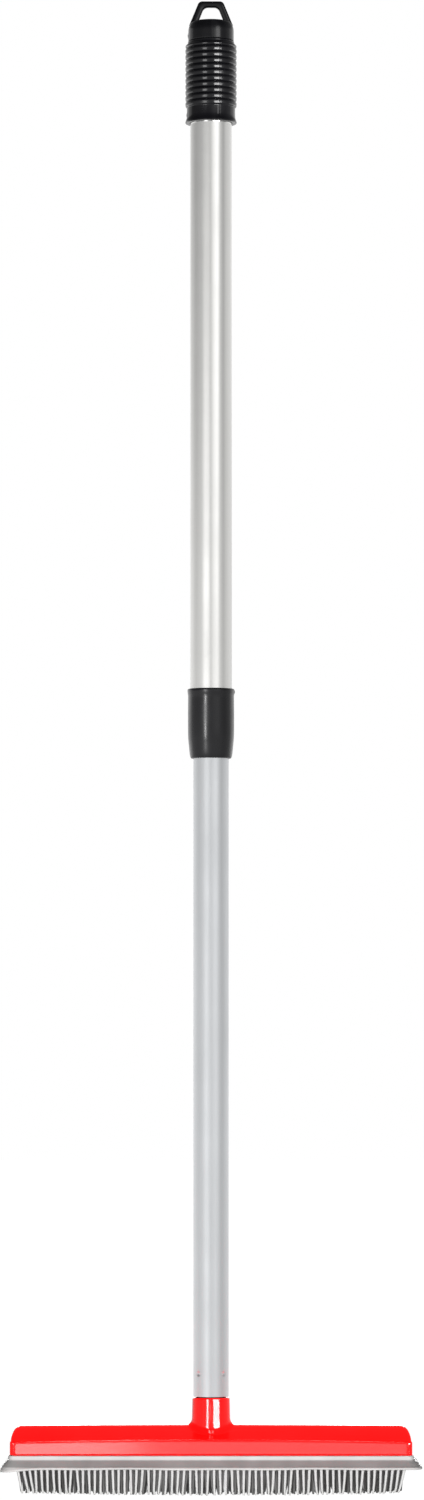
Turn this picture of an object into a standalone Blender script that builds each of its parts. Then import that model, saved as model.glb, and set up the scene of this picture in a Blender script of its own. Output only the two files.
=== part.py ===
"""Rubber-bristle carpet broom with a telescoping handle that locks by twisting.

Every size is in metres and +Z is up. The origin is on the floor under the middle of the head, with
the head's length along X. A moulded head shell stands on a rubber brush, which grips a screwed-in
base plate. The lower tube is screwed into the head's socket by a threaded tip. At the lower tube's
top an expanding lock grips the bore of the upper tube, which carries the collar, grip and end cap.
"""

import math

import bmesh
import bpy
from mathutils import Matrix, Vector

# Clearances
GAP = 0.0003  # between pieces that touch, and around a pressed-in piece
SLIDE_CLEARANCE = 0.0003  # between pieces that slide or turn on each other

# Rubber brush
BRISTLE_LENGTH = 0.0201
BRISTLE_PITCH = 0.00428
BRISTLE_ROOT_WIDTH = 0.0023
BRISTLE_TIP_WIDTH = 0.0014
BRISTLE_DEPTH = 0.0021  # front to back
BRISTLE_WEB = 0.0012  # strip along the top of a row that joins its bristles
BRISTLE_ROWS = 7
ROW_PITCH = 0.0055
ROW_END_INSET = 0.0051  # from the end of the head to the first bristle's middle
PAD_THICKNESS = 0.0027
HOOK_REACH = 0.0035  # how far the rim hooks in over the base plate
HOOK_HEIGHT = 0.0025
RIM_PROUD = 0.0009  # how far the rim stands out past the shell
SKIRT_REACH = 0.0071  # how far the skirt flares out past the shell
SKIRT_THICKNESS = 0.0014

# Base plate
PLATE_THICKNESS = 0.003
PLATE_INSET = 0.0016
SCREW_COUNT = 6
SCREW_PITCH = 0.049
SCREW_SHANK_RADIUS = 0.0015
SCREW_HEAD_RADIUS = 0.003
SCREW_HEAD_HEIGHT = 0.0014
SCREW_LENGTH = 0.012

# Head shell
HEAD_LENGTH = 0.289
HEAD_DEPTH = 0.045
HEAD_CORNER_RADIUS = 0.003
SHELL_WALL = 0.0024
BAND_HEIGHT = 0.0112  # upright face under the crease, at mid-length
CREASE_DROP = 0.0018  # how much lower the crease is at the ends
ROOF_RISE = 0.0111  # from the crease to the ridge
RIDGE_DROP = 0.0008
RIDGE_ROUNDNESS = 0.004
END_ROUNDNESS = 0.0083  # length over which the ridge's ends round down
RIB_THICKNESS = 0.0016
RIB_SINK = 0.0012  # how deep a rib's edge runs into the shell's wall
BOSS_RADIUS = 0.004
SOCKET_HEIGHT = 0.0191  # above the ridge
SOCKET_LIP = 0.0008  # how far the socket's mouth stands out past the tube
SOCKET_DRAFT = 0.022
SOCKET_FILLET = 0.0035
SOCKET_FLOOR = 0.003
SOCKET_DEPTH = 0.035

# Threaded tip
THREAD_CORE_RADIUS = 0.0086
THREAD_CREST_RADIUS = 0.0101
THREAD_HALF_HEIGHT = 0.0018  # of the ridge, where it runs into the core
THREAD_ROOT_SINK = 0.0008  # how deep the ridge's foot runs into the core
THREAD_PITCH = 0.005
THREAD_TURNS = 4
TIP_FLANGE = 0.0008
TIP_NOSE_CLEARANCE = 0.002  # between the nose and the socket's floor
PLUG_LENGTH = 0.028

# Tubes
LOWER_TUBE_RADIUS = 0.0127
TUBE_WALL = 0.0006
TUBE_SPACING = 0.0017  # from the lower tube's outside to the upper tube's bore
LOWER_TUBE_LENGTH = 0.524
UPPER_TUBE_LENGTH = 0.5007
SHOWING_LOWER_TUBE = 0.4591  # between the tip's flange and the collar, as drawn
DIMPLE_HEIGHT = 0.0149  # above the lower tube's end
DIMPLE_RADIUS = 0.0022
DIMPLE_DEPTH = 0.00035

# Collar
COLLAR_LENGTH = 0.0501
COLLAR_SHOULDER = 0.015  # from its lower end to the ledge under the upper tube
COLLAR_WALL = 0.00135
COLLAR_LIP = 0.0003
COLLAR_LIP_HEIGHT = 0.0035
COLLAR_TAPER_HEIGHT = 0.0165
COLLAR_FOOT_WALL = 0.0020

# Twist lock
LOCK_PLUG_LENGTH = 0.022
LOCK_FLANGE = 0.0025
STUD_RADIUS = 0.004
STUD_LENGTH = 0.041
SLEEVE_LENGTH = 0.028
SLEEVE_MOUTH_WALL = 0.0032
SLEEVE_FOOT_WALL = 0.0068
SLEEVE_SLOT_WIDTH = 0.0024
SLEEVE_UNCUT = 0.006  # uncut ring at the foot of the sleeve
WEDGE_LENGTH = 0.020
WEDGE_PROUD = 0.006  # how far the wedge stands out of the sleeve when locked
LOCK_SCREW_RADIUS = 0.0018
LOCK_SCREW_HEAD_RADIUS = 0.0034
LOCK_SCREW_HEAD_HEIGHT = 0.0022
LOCK_SCREW_LENGTH = 0.010
LOCK_WASHER_THICKNESS = 0.001
LOCK_WASHER_RADIUS = 0.0065

# Grip and end cap
GRIP_LENGTH = 0.0591
GRIP_WALL = 0.0023
RIB_COUNT = 11
RIB_PITCH = 0.00426
RIB_HEIGHT = 0.0009
FIRST_RIB_DROP = 0.0033  # from the grip's top to its first rib
GRIP_FOOT_BEAD = 0.0007
CAP_WALL = 0.0014
CAP_HEIGHT = 0.0159
CAP_SHOULDER = 0.0063
CAP_PLUG_LENGTH = 0.017
CAP_PLUG_WALL = 0.0022
LOOP_HEIGHT = 0.0128
LOOP_TOP_HALF_WIDTH = 0.0079
LOOP_BAR = 0.0045
LOOP_THICKNESS = 0.005
LOOP_CORNER = 0.0022
HOLE_FOOT_HALF_WIDTH = 0.0088
HOLE_TOP_HALF_WIDTH = 0.0052

TURNED_SEGMENTS = 48
GRIP_SEGMENTS = 24
THREAD_SEGMENTS = 32
CUT_MARGIN = 0.001  # how far a cutter runs past what it cuts

# Levels, from the floor up
PAD_BOTTOM = BRISTLE_LENGTH + GAP
POCKET_FLOOR = PAD_BOTTOM + PAD_THICKNESS
PLATE_BOTTOM = POCKET_FLOOR + GAP
PLATE_TOP = PLATE_BOTTOM + PLATE_THICKNESS
HOOK_BOTTOM = PLATE_TOP + GAP
RIM_TOP = HOOK_BOTTOM + HOOK_HEIGHT
SHELL_BOTTOM = RIM_TOP + GAP
CREASE = SHELL_BOTTOM + BAND_HEIGHT
RIDGE = CREASE + ROOF_RISE
SOCKET_TOP = RIDGE + SOCKET_HEIGHT
BORE_FLOOR = SOCKET_TOP - SOCKET_DEPTH
THREAD_BOTTOM = BORE_FLOOR + TIP_NOSE_CLEARANCE + THREAD_HALF_HEIGHT + 0.001
TIP_BOTTOM = SOCKET_TOP + GAP
LOWER_TUBE_BOTTOM = TIP_BOTTOM + TIP_FLANGE + GAP
LOWER_TUBE_TOP = LOWER_TUBE_BOTTOM + LOWER_TUBE_LENGTH
COLLAR_BOTTOM = LOWER_TUBE_BOTTOM + SHOWING_LOWER_TUBE
COLLAR_TOP = COLLAR_BOTTOM + COLLAR_LENGTH
UPPER_TUBE_BOTTOM = COLLAR_BOTTOM + COLLAR_SHOULDER + GAP
UPPER_TUBE_TOP = UPPER_TUBE_BOTTOM + UPPER_TUBE_LENGTH
CAP_BOTTOM = UPPER_TUBE_TOP + GAP
CAP_TOP = CAP_BOTTOM + CAP_HEIGHT
FLANGE_BOTTOM = LOWER_TUBE_TOP + GAP
FLANGE_TOP = FLANGE_BOTTOM + LOCK_FLANGE
STUD_TOP = FLANGE_TOP + STUD_LENGTH
SLEEVE_BOTTOM = FLANGE_TOP + SLIDE_CLEARANCE
SLEEVE_TOP = SLEEVE_BOTTOM + SLEEVE_LENGTH
WEDGE_TOP = SLEEVE_TOP + WEDGE_PROUD
WEDGE_BOTTOM = WEDGE_TOP - WEDGE_LENGTH

# Radii that follow from the tubes
LOWER_BORE = LOWER_TUBE_RADIUS - TUBE_WALL
UPPER_BORE = LOWER_TUBE_RADIUS + TUBE_SPACING
UPPER_TUBE_RADIUS = UPPER_BORE + TUBE_WALL
SLEEVE_RADIUS = UPPER_BORE - SLIDE_CLEARANCE
COLLAR_RADIUS = UPPER_TUBE_RADIUS + GAP + COLLAR_WALL
GRIP_BORE = UPPER_TUBE_RADIUS + GAP
GRIP_ROOT_RADIUS = GRIP_BORE + GRIP_WALL
CAP_RADIUS = UPPER_TUBE_RADIUS + CAP_WALL
SOCKET_MOUTH_RADIUS = LOWER_TUBE_RADIUS + SOCKET_LIP


def material(name, colour, roughness, metallic=0.0):
    """A Principled material of one colour."""
    made = bpy.data.materials.new(name)
    made.use_nodes = True
    shader = made.node_tree.nodes["Principled BSDF"]
    shader.inputs["Base Color"].default_value = (*colour, 1.0)
    shader.inputs["Roughness"].default_value = roughness
    shader.inputs["Metallic"].default_value = metallic
    made.diffuse_color = (*colour, 1.0)
    return made


def fresh_collection(name):
    made = bpy.data.collections.new(name)
    bpy.context.scene.collection.children.link(made)
    return made


def place(name, mesh, collection, finish=None):
    """Links a mesh as a named object, with smooth faces and sharp edges over 35 degrees."""
    made = bpy.data.objects.new(name, mesh)
    collection.objects.link(made)
    if finish:
        mesh.materials.append(finish)
    mesh.shade_smooth()
    mesh.set_sharp_from_angle(angle=math.radians(35))
    return made


def mesh_from(name, build):
    """A mesh whose geometry build(bm) makes."""
    mesh = bpy.data.meshes.new(name)
    bm = bmesh.new()
    build(bm)
    bm.to_mesh(mesh)
    bm.free()
    return mesh


def add_rod(bm, foot_radius, top_radius, bottom, top, centre=(0.0, 0.0), segments=TURNED_SEGMENTS):
    """An upright cylinder or cone between two heights."""
    middle = Matrix.Translation((centre[0], centre[1], (bottom + top) / 2))
    bmesh.ops.create_cone(
        bm, cap_ends=True, segments=segments, radius1=foot_radius, radius2=top_radius,
        depth=top - bottom, matrix=middle,
    )


def rod(name, foot_radius, top_radius, bottom, top, collection, finish=None, segments=TURNED_SEGMENTS):
    mesh = mesh_from(name, lambda bm: add_rod(bm, foot_radius, top_radius, bottom, top, segments=segments))
    return place(name, mesh, collection, finish)


def turned(name, profile, collection, finish=None, segments=TURNED_SEGMENTS):
    """A ring turned about Z from a closed profile of (radius, height), which runs down its outer side."""

    def outline(bm):
        points = [bm.verts.new((radius, 0.0, height)) for radius, height in profile]
        for first, second in zip(points, points[1:] + points[:1]):
            bm.edges.new((first, second))

    made = place(name, mesh_from(name, outline), collection, finish)
    screw = made.modifiers.new("turn", "SCREW")
    screw.angle = math.tau
    screw.steps = segments
    screw.render_steps = segments
    screw.use_merge_vertices = True
    screw.merge_threshold = 0.00001
    return made


def turned_solid(name, profile, collection, finish=None, segments=TURNED_SEGMENTS):
    """A solid turned about Z from an open profile that starts and ends on the axis."""

    def outline(bm):
        points = [bm.verts.new((radius, 0.0, height)) for radius, height in profile]
        for first, second in zip(points, points[1:]):
            bm.edges.new((first, second))

    made = place(name, mesh_from(name, outline), collection, finish)
    screw = made.modifiers.new("turn", "SCREW")
    screw.angle = math.tau
    screw.steps = segments
    screw.render_steps = segments
    screw.use_merge_vertices = True
    screw.merge_threshold = 0.00001
    return made


def combine(target, other, operation):
    """Joins other to target or cuts it away, and hides it as a guide."""
    step = target.modifiers.new(operation.lower(), "BOOLEAN")
    step.operation = operation
    step.solver = "EXACT"
    step.object = other
    other.hide_render = True
    other.display_type = "WIRE"
    return step


def meshed(curve_object, collection):
    """Turns a curve object into a closed mesh object, with its caps welded on."""
    evaluated = curve_object.evaluated_get(bpy.context.evaluated_depsgraph_get())
    mesh = bpy.data.meshes.new_from_object(evaluated)
    bm = bmesh.new()
    bm.from_mesh(mesh)
    bmesh.ops.remove_doubles(bm, verts=bm.verts, dist=0.000001)
    bm.to_mesh(mesh)
    bm.free()
    name = curve_object.name
    matrix = curve_object.matrix_world.copy()
    bpy.data.objects.remove(curve_object)
    made = place(name, mesh, collection)
    made.matrix_world = matrix
    return made


def flat_outline(name, loops, thickness, collection, finish=None):
    """A flat plate in the XZ plane from closed outlines of (x, z), standing across Y."""
    curve = bpy.data.curves.new(name, "CURVE")
    curve.dimensions = "2D"
    curve.fill_mode = "BOTH"
    curve.extrude = thickness / 2
    for loop in loops:
        spline = curve.splines.new("POLY")
        spline.points.add(len(loop) - 1)
        for point, (x, z) in zip(spline.points, loop):
            point.co = (x, z, 0.0, 1.0)
        spline.use_cyclic_u = True
    made = bpy.data.objects.new(name, curve)
    made.rotation_euler = (math.pi / 2, 0.0, 0.0)
    collection.objects.link(made)
    bpy.context.view_layer.update()
    made = meshed(made, collection)
    if finish:
        made.data.materials.append(finish)
    return made


def helix(name, radius, half_height, crest, turns, bottom, collection):
    """A ridge of triangular section wound round Z, whose crest stands out from a radius inside the core."""
    per_turn = THREAD_SEGMENTS // 2

    def skin(bm):
        loops = []
        for i in range(int(turns * per_turn) + 1):
            angle = math.tau * i / per_turn
            height = bottom + THREAD_PITCH * i / per_turn
            section = ((radius, -half_height), (radius, half_height), (crest, 0.0))
            loops.append([(r * math.cos(angle), r * math.sin(angle), height + z) for r, z in section])
        loft(bm, loops, True, True)

    return place(name, mesh_from(name, skin), collection)


def arc(centre, radius, start, end, steps):
    """Points on a circle's arc, with its angles in degrees."""
    angles = [math.radians(start + (end - start) * i / steps) for i in range(steps + 1)]
    return [(centre[0] + radius * math.cos(a), centre[1] + radius * math.sin(a)) for a in angles]


def oblong(half_length, half_depth, corner, side_points=9, corner_points=3):
    """A rounded rectangle's points, anticlockwise, with more points along its long sides."""
    corner = min(corner, half_depth * 0.8)
    x, y = half_length - corner, half_depth - corner
    points = []
    for sign, start in ((1, 0.0), (-1, 180.0)):
        points += arc((sign * x, sign * y), corner, start, start + 90, corner_points)
        points += [(sign * x * (1 - 2 * i / (side_points - 1)), sign * half_depth)
                   for i in range(1, side_points - 1)]
        points += arc((-sign * x, sign * y), corner, start + 90, start + 180, corner_points)
    return points


def loft(bm, loops, close_start, close_end):
    """Skins a list of loops with the same number of points, and caps the ends that are asked for."""
    rings = [[bm.verts.new(point) for point in loop] for loop in loops]
    for lower, upper in zip(rings, rings[1:]):
        for i in range(len(lower)):
            j = (i + 1) % len(lower)
            bm.faces.new((lower[i], lower[j], upper[j], upper[i]))
    if close_start:
        bm.faces.new(list(reversed(rings[0])))
    if close_end:
        bm.faces.new(rings[-1])


def roof_share(across):
    """Share of the roof's rise at a distance across from the ridge: straight slopes, rounded where they meet."""
    def slope(distance):
        return math.hypot(distance, RIDGE_ROUNDNESS) - RIDGE_ROUNDNESS
    return 1 - slope(across) / slope(HEAD_DEPTH / 2)


def crease_height(along):
    return CREASE - CREASE_DROP * (2 * along / HEAD_LENGTH) ** 2


def roof_height(along, share):
    """Height of the roof where it has risen by a share of its rise."""
    ridge = RIDGE - RIDGE_DROP * (2 * along / HEAD_LENGTH) ** 2
    return crease_height(along) + share * (ridge - crease_height(along))


def screw_places():
    return [SCREW_PITCH * (i - (SCREW_COUNT - 1) / 2) for i in range(SCREW_COUNT)]


def rib_places():
    """Halfway between neighbouring screws, leaving out the rib that the socket would cross."""
    screws = screw_places()
    middles = [(a + b) / 2 for a, b in zip(screws, screws[1:])]
    return [x for x in middles if abs(x) > SOCKET_MOUTH_RADIUS + RIB_THICKNESS]


# Rubber brush: one moulding of pad, rim, skirt and bristles, drawn as the pad and the rows it carries
def make_bristle_row(index, collection, finish):
    """One row of bristles: a comb whose teeth taper to the floor, joined by a web at the top."""
    staggered = index % 2
    longest = HEAD_LENGTH - 2 * ROW_END_INSET
    count = int(longest / BRISTLE_PITCH) + 1 - staggered
    first = -BRISTLE_PITCH * (count - 1) / 2
    web_bottom = BRISTLE_LENGTH - BRISTLE_WEB
    root, tip = BRISTLE_ROOT_WIDTH / 2, BRISTLE_TIP_WIDTH / 2
    outline = [(first - root, BRISTLE_LENGTH)]
    for i in range(count):
        x = first + i * BRISTLE_PITCH
        outline += [(x - root, web_bottom), (x - tip, 0.0), (x + tip, 0.0), (x + root, web_bottom)]
    outline.append((-first + root, BRISTLE_LENGTH))
    name = f"bristle_row_{index + 1}"
    row = flat_outline(name, [outline], BRISTLE_DEPTH, collection, finish)
    row.location.y = ROW_PITCH * (index - (BRISTLE_ROWS - 1) / 2)
    return row


def make_rubber_pad(collection, finish):
    """Pad, rim and flared skirt: offset outlines of the head, skinned from the underside round to the pocket."""
    half_length, half_depth = HEAD_LENGTH / 2, HEAD_DEPTH / 2
    lip_bottom = PAD_BOTTOM - 0.001
    skirt_root = RIM_TOP - 0.002
    inner = SKIRT_REACH - SKIRT_THICKNESS
    steps = [
        (0.0006, PAD_BOTTOM),
        (0.0020, PAD_BOTTOM + 0.0020),
        (inner - 0.0022, PAD_BOTTOM + 0.0020),
        (inner - 0.0003, PAD_BOTTOM + 0.0004),
        (inner, lip_bottom),
        (SKIRT_REACH, lip_bottom),
        (SKIRT_REACH, lip_bottom + 0.0012),
        (SKIRT_REACH - 0.0008, lip_bottom + 0.0029),
        (SKIRT_REACH - 0.0026, lip_bottom + 0.0050),
        (SKIRT_REACH - 0.0049, lip_bottom + 0.0068),
        (RIM_PROUD + 0.0006, skirt_root),
        (RIM_PROUD, RIM_TOP),
        (-HOOK_REACH, RIM_TOP),
        (-HOOK_REACH, HOOK_BOTTOM),
        (GAP - PLATE_INSET, HOOK_BOTTOM),
        (GAP - PLATE_INSET, POCKET_FLOOR),
    ]

    def skin(bm):
        loops = []
        for offset, height in steps:
            corner = max(HEAD_CORNER_RADIUS + offset, 0.0008)
            outline = oblong(half_length + offset, half_depth + offset, corner, side_points=3)
            loops.append([(x, y, height) for x, y in outline])
        loft(bm, loops, True, True)

    return place("rubber_pad", mesh_from("rubber_pad", skin), collection, finish)


# Base plate and its screws
def make_base_plate(collection, cutters, finish):
    """Stiff plate in the rubber's pocket, counterbored from below for its screws."""
    half_length = HEAD_LENGTH / 2 - PLATE_INSET
    half_depth = HEAD_DEPTH / 2 - PLATE_INSET

    def skin(bm):
        outline = oblong(half_length, half_depth, HEAD_CORNER_RADIUS - PLATE_INSET, side_points=3)
        loft(bm, [[(x, y, z) for x, y in outline] for z in (PLATE_BOTTOM, PLATE_TOP)], True, True)

    def holes(bm):
        for x in screw_places():
            add_rod(bm, SCREW_HEAD_RADIUS + GAP, SCREW_HEAD_RADIUS + GAP, PLATE_BOTTOM - CUT_MARGIN,
                    PLATE_BOTTOM + SCREW_HEAD_HEIGHT + GAP, (x, 0.0), 12)

    def shank_holes(bm):
        for x in screw_places():
            add_rod(bm, SCREW_SHANK_RADIUS + GAP, SCREW_SHANK_RADIUS + GAP, PLATE_BOTTOM - CUT_MARGIN,
                    PLATE_TOP + CUT_MARGIN, (x, 0.0), 12)

    plate = place("base_plate", mesh_from("base_plate", skin), collection, finish)
    combine(plate, place("counterbores", mesh_from("counterbores", holes), cutters), "DIFFERENCE")
    combine(plate, place("shank_holes", mesh_from("shank_holes", shank_holes), cutters), "DIFFERENCE")
    return plate


def make_base_plate_screw(index, collection, finish):
    """Self-tapping screw, head down in the plate, with its shank up in one of the shell's bosses."""
    head_top = PLATE_BOTTOM + SCREW_HEAD_HEIGHT
    top = PLATE_BOTTOM + SCREW_LENGTH
    profile = [
        (0.0, top),
        (SCREW_SHANK_RADIUS / 3, top),
        (SCREW_SHANK_RADIUS, top - SCREW_SHANK_RADIUS),
        (SCREW_SHANK_RADIUS, head_top),
        (SCREW_HEAD_RADIUS, head_top),
        (SCREW_HEAD_RADIUS, PLATE_BOTTOM),
        (0.0, PLATE_BOTTOM),
    ]
    screw = turned_solid(f"base_plate_screw_{index + 1}", profile, collection, finish, segments=12)
    screw.location.x = screw_places()[index]
    return screw


# Head shell
def make_socket_fillet(collection):
    """Ring that blends the socket into the roof: its concave face meets both, and its foot is sunk in the roof."""
    foot_radius = SOCKET_MOUTH_RADIUS + SOCKET_DRAFT * SOCKET_HEIGHT
    sides = 32

    def skin(bm):
        sweep = [math.radians(5 + 20 * i) for i in range(5)]
        section = [(-SHELL_WALL / 2, -SHELL_WALL * 0.6)]
        section += [(SOCKET_FILLET * (1 - math.cos(a)), SOCKET_FILLET * (1 - math.sin(a))) for a in sweep]
        section += [(SOCKET_FILLET, -SHELL_WALL * 0.3)]
        loops = []
        for i in range(sides):
            angle = math.tau * i / sides
            loop = []
            for out, rise in section:
                radius = foot_radius + out
                x, y = radius * math.cos(angle), radius * math.sin(angle)
                loop.append((x, y, roof_height(x, roof_share(abs(y))) + rise))
            loops.append(loop)
        rings = [[bm.verts.new(point) for point in loop] for loop in loops]
        for first, second in zip(rings, rings[1:] + rings[:1]):
            for i in range(len(first)):
                j = (i + 1) % len(first)
                bm.faces.new((first[i], second[i], second[j], first[j]))

    return place("socket_fillet", mesh_from("socket_fillet", skin), collection)


def make_head_shell(collection, cutters, finish):
    """Hollow moulding: upright band, gabled roof with rounded ends, handle socket, screw bosses and ribs."""
    half_length, half_depth = HEAD_LENGTH / 2, HEAD_DEPTH / 2
    roof_steps = 7

    def skin(bm):
        base = oblong(half_length, half_depth, HEAD_CORNER_RADIUS)
        loops = [[(x, y, SHELL_BOTTOM) for x, y in base]]
        for i in range(roof_steps + 1):
            across = half_depth * (1 - i / (roof_steps + 0.4))
            share = roof_share(across)
            end = half_length - END_ROUNDNESS * (1 - math.sqrt(1 - share ** 2))
            outline = oblong(end, across, HEAD_CORNER_RADIUS)
            loops.append([(x, y, roof_height(x, share)) for x, y in outline])
        loft(bm, loops, False, True)

    shell = place("head_shell", mesh_from("head_shell", skin), collection, finish)
    wall = shell.modifiers.new("wall", "SOLIDIFY")
    wall.thickness = SHELL_WALL
    wall.offset = -1.0

    def bosses(bm):
        for x in screw_places():
            add_rod(bm, BOSS_RADIUS, BOSS_RADIUS, PLATE_TOP + GAP, roof_height(x, 1.0) - SHELL_WALL * 0.8,
                    (x, 0.0), 12)

    def pilot_holes(bm):
        for x in screw_places():
            add_rod(bm, SCREW_SHANK_RADIUS + GAP, SCREW_SHANK_RADIUS + GAP, PLATE_TOP - CUT_MARGIN,
                    PLATE_BOTTOM + SCREW_LENGTH + GAP, (x, 0.0), 12)

    for i, x in enumerate(rib_places()):
        reach = half_depth - RIB_SINK
        across = [reach * (1 - step / 4) for step in range(5)]
        top = [(y, roof_height(x, roof_share(y)) - RIB_SINK) for y in across]
        outline = [(reach, SHELL_BOTTOM + RIB_SINK)] + top
        outline += [(-y, z) for y, z in reversed(outline[:-1])]
        rib = flat_outline(f"rib_{i + 1}", [outline], RIB_THICKNESS, cutters)
        rib.rotation_euler = (math.pi / 2, 0.0, math.pi / 2)
        rib.location.x = x
        combine(shell, rib, "UNION")
    combine(shell, place("bosses", mesh_from("bosses", bosses), cutters), "UNION")
    foot = BORE_FLOOR - SOCKET_FLOOR
    foot_radius = SOCKET_MOUTH_RADIUS + SOCKET_DRAFT * (SOCKET_TOP - foot)
    socket = rod("socket", foot_radius, SOCKET_MOUTH_RADIUS, foot, SOCKET_TOP, cutters)
    combine(shell, socket, "UNION")
    combine(shell, make_socket_fillet(cutters), "UNION")
    thread_bore = THREAD_CORE_RADIUS + SLIDE_CLEARANCE
    bore = rod("bore", thread_bore, thread_bore, BORE_FLOOR, SOCKET_TOP + CUT_MARGIN, cutters,
               segments=THREAD_SEGMENTS)
    combine(shell, bore, "DIFFERENCE")
    groove = helix("thread_groove", THREAD_CORE_RADIUS - THREAD_ROOT_SINK, THREAD_HALF_HEIGHT + SLIDE_CLEARANCE,
                   THREAD_CREST_RADIUS + 2 * SLIDE_CLEARANCE, THREAD_TURNS + 1,
                   THREAD_BOTTOM - THREAD_PITCH / 2, cutters)
    groove.rotation_euler.z = math.pi
    combine(shell, groove, "DIFFERENCE")
    combine(shell, place("pilot_holes", mesh_from("pilot_holes", pilot_holes), cutters), "DIFFERENCE")
    return shell


# Lower tube, its threaded tip and its dimples
def make_thread_tip(collection, cutters, finish):
    """Plug in the lower tube's end, with a flange under the tube and a threaded nose for the socket."""
    plug_radius = LOWER_BORE - GAP
    nose = BORE_FLOOR + TIP_NOSE_CLEARANCE
    flange_top = TIP_BOTTOM + TIP_FLANGE
    profile = [
        (0.0, flange_top + GAP + PLUG_LENGTH),
        (plug_radius - 0.001, flange_top + GAP + PLUG_LENGTH),
        (plug_radius, flange_top + GAP + PLUG_LENGTH - 0.001),
        (plug_radius, flange_top),
        (LOWER_TUBE_RADIUS, flange_top),
        (LOWER_TUBE_RADIUS, TIP_BOTTOM),
        (THREAD_CORE_RADIUS, TIP_BOTTOM),
        (THREAD_CORE_RADIUS, nose + 0.001),
        (THREAD_CORE_RADIUS - 0.001, nose),
        (0.0, nose),
    ]
    tip = turned_solid("thread_tip", profile, collection, finish, segments=THREAD_SEGMENTS)
    ridge = helix("thread_ridge", THREAD_CORE_RADIUS - THREAD_ROOT_SINK, THREAD_HALF_HEIGHT,
                  THREAD_CREST_RADIUS, THREAD_TURNS, THREAD_BOTTOM, cutters)
    combine(tip, ridge, "UNION")
    return tip


def make_tube(name, outer, bottom, length, collection, finish):
    inner = outer - TUBE_WALL
    profile = [(outer, bottom + length), (outer, bottom), (inner, bottom), (inner, bottom + length)]
    return turned(name, profile, collection, finish)


def make_lower_tube(collection, cutters, finish):
    """Inner tube, with four dimples punched round it to hold the threaded tip."""
    tube = make_tube("lower_tube", LOWER_TUBE_RADIUS, LOWER_TUBE_BOTTOM, LOWER_TUBE_LENGTH, collection, finish)

    def punches(bm):
        for i in range(4):
            angle = math.radians(45 + 90 * i)
            distance = LOWER_TUBE_RADIUS + DIMPLE_RADIUS - DIMPLE_DEPTH
            centre = Vector((distance * math.cos(angle), distance * math.sin(angle),
                             LOWER_TUBE_BOTTOM + DIMPLE_HEIGHT))
            bmesh.ops.create_uvsphere(bm, u_segments=12, v_segments=8, radius=DIMPLE_RADIUS,
                                      matrix=Matrix.Translation(centre))

    combine(tube, place("punches", mesh_from("punches", punches), cutters), "DIFFERENCE")
    return tube


# Twist lock at the top of the lower tube
def make_lock_plug(collection, finish):
    """Plug in the lower tube's top, with a flange that stops at the collar and an upright stud."""
    plug_radius = LOWER_BORE - GAP
    screw_hole = LOCK_SCREW_RADIUS + GAP
    hole_floor = STUD_TOP - LOCK_SCREW_LENGTH - 0.001
    profile = [
        (0.0, hole_floor),
        (screw_hole, hole_floor),
        (screw_hole, STUD_TOP),
        (STUD_RADIUS, STUD_TOP),
        (STUD_RADIUS, FLANGE_TOP),
        (SLEEVE_RADIUS, FLANGE_TOP),
        (SLEEVE_RADIUS, FLANGE_BOTTOM),
        (plug_radius, FLANGE_BOTTOM),
        (plug_radius, FLANGE_BOTTOM - LOCK_PLUG_LENGTH),
        (0.0, FLANGE_BOTTOM - LOCK_PLUG_LENGTH),
    ]
    return turned_solid("lock_plug", profile, collection, finish, segments=36)


def taper_radius(height):
    """Radius of the sleeve's tapered bore at a height."""
    mouth, foot = SLEEVE_RADIUS - SLEEVE_MOUTH_WALL, SLEEVE_RADIUS - SLEEVE_FOOT_WALL
    share = (height - SLEEVE_BOTTOM) / SLEEVE_LENGTH
    return foot + (mouth - foot) * share


def add_cross(bm, half_width, reach, bottom, top):
    """Two upright bars that cross on the axis."""
    for angle in (0.0, math.pi / 2):
        size = Matrix.Diagonal((2 * reach, 2 * half_width, top - bottom, 1.0))
        turn = Matrix.Rotation(angle, 4, "Z")
        middle = Matrix.Translation((0.0, 0.0, (bottom + top) / 2))
        bmesh.ops.create_cube(bm, size=1.0, matrix=middle @ turn @ size)


def make_lock_sleeve(collection, cutters, finish):
    """Split sleeve that drags on the upper tube's bore, with four slots down from its tapered mouth."""
    profile = [
        (SLEEVE_RADIUS, SLEEVE_TOP),
        (SLEEVE_RADIUS, SLEEVE_BOTTOM),
        (taper_radius(SLEEVE_BOTTOM), SLEEVE_BOTTOM),
        (taper_radius(SLEEVE_TOP), SLEEVE_TOP),
    ]
    sleeve = turned("lock_sleeve", profile, collection, finish)
    for i, angle in enumerate((0.0, math.pi / 2)):
        cutter = mesh_from("slot", lambda bm: bmesh.ops.create_cube(bm, size=1.0, matrix=Matrix.Diagonal(
            (2 * SLEEVE_RADIUS + 2 * CUT_MARGIN, SLEEVE_SLOT_WIDTH, SLEEVE_LENGTH, 1.0))))
        slot = place(f"slot_{i + 1}", cutter, cutters)
        slot.rotation_euler.z = angle
        slot.location.z = SLEEVE_BOTTOM + SLEEVE_UNCUT + SLEEVE_LENGTH / 2
        combine(sleeve, slot, "DIFFERENCE")
    return sleeve


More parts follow.
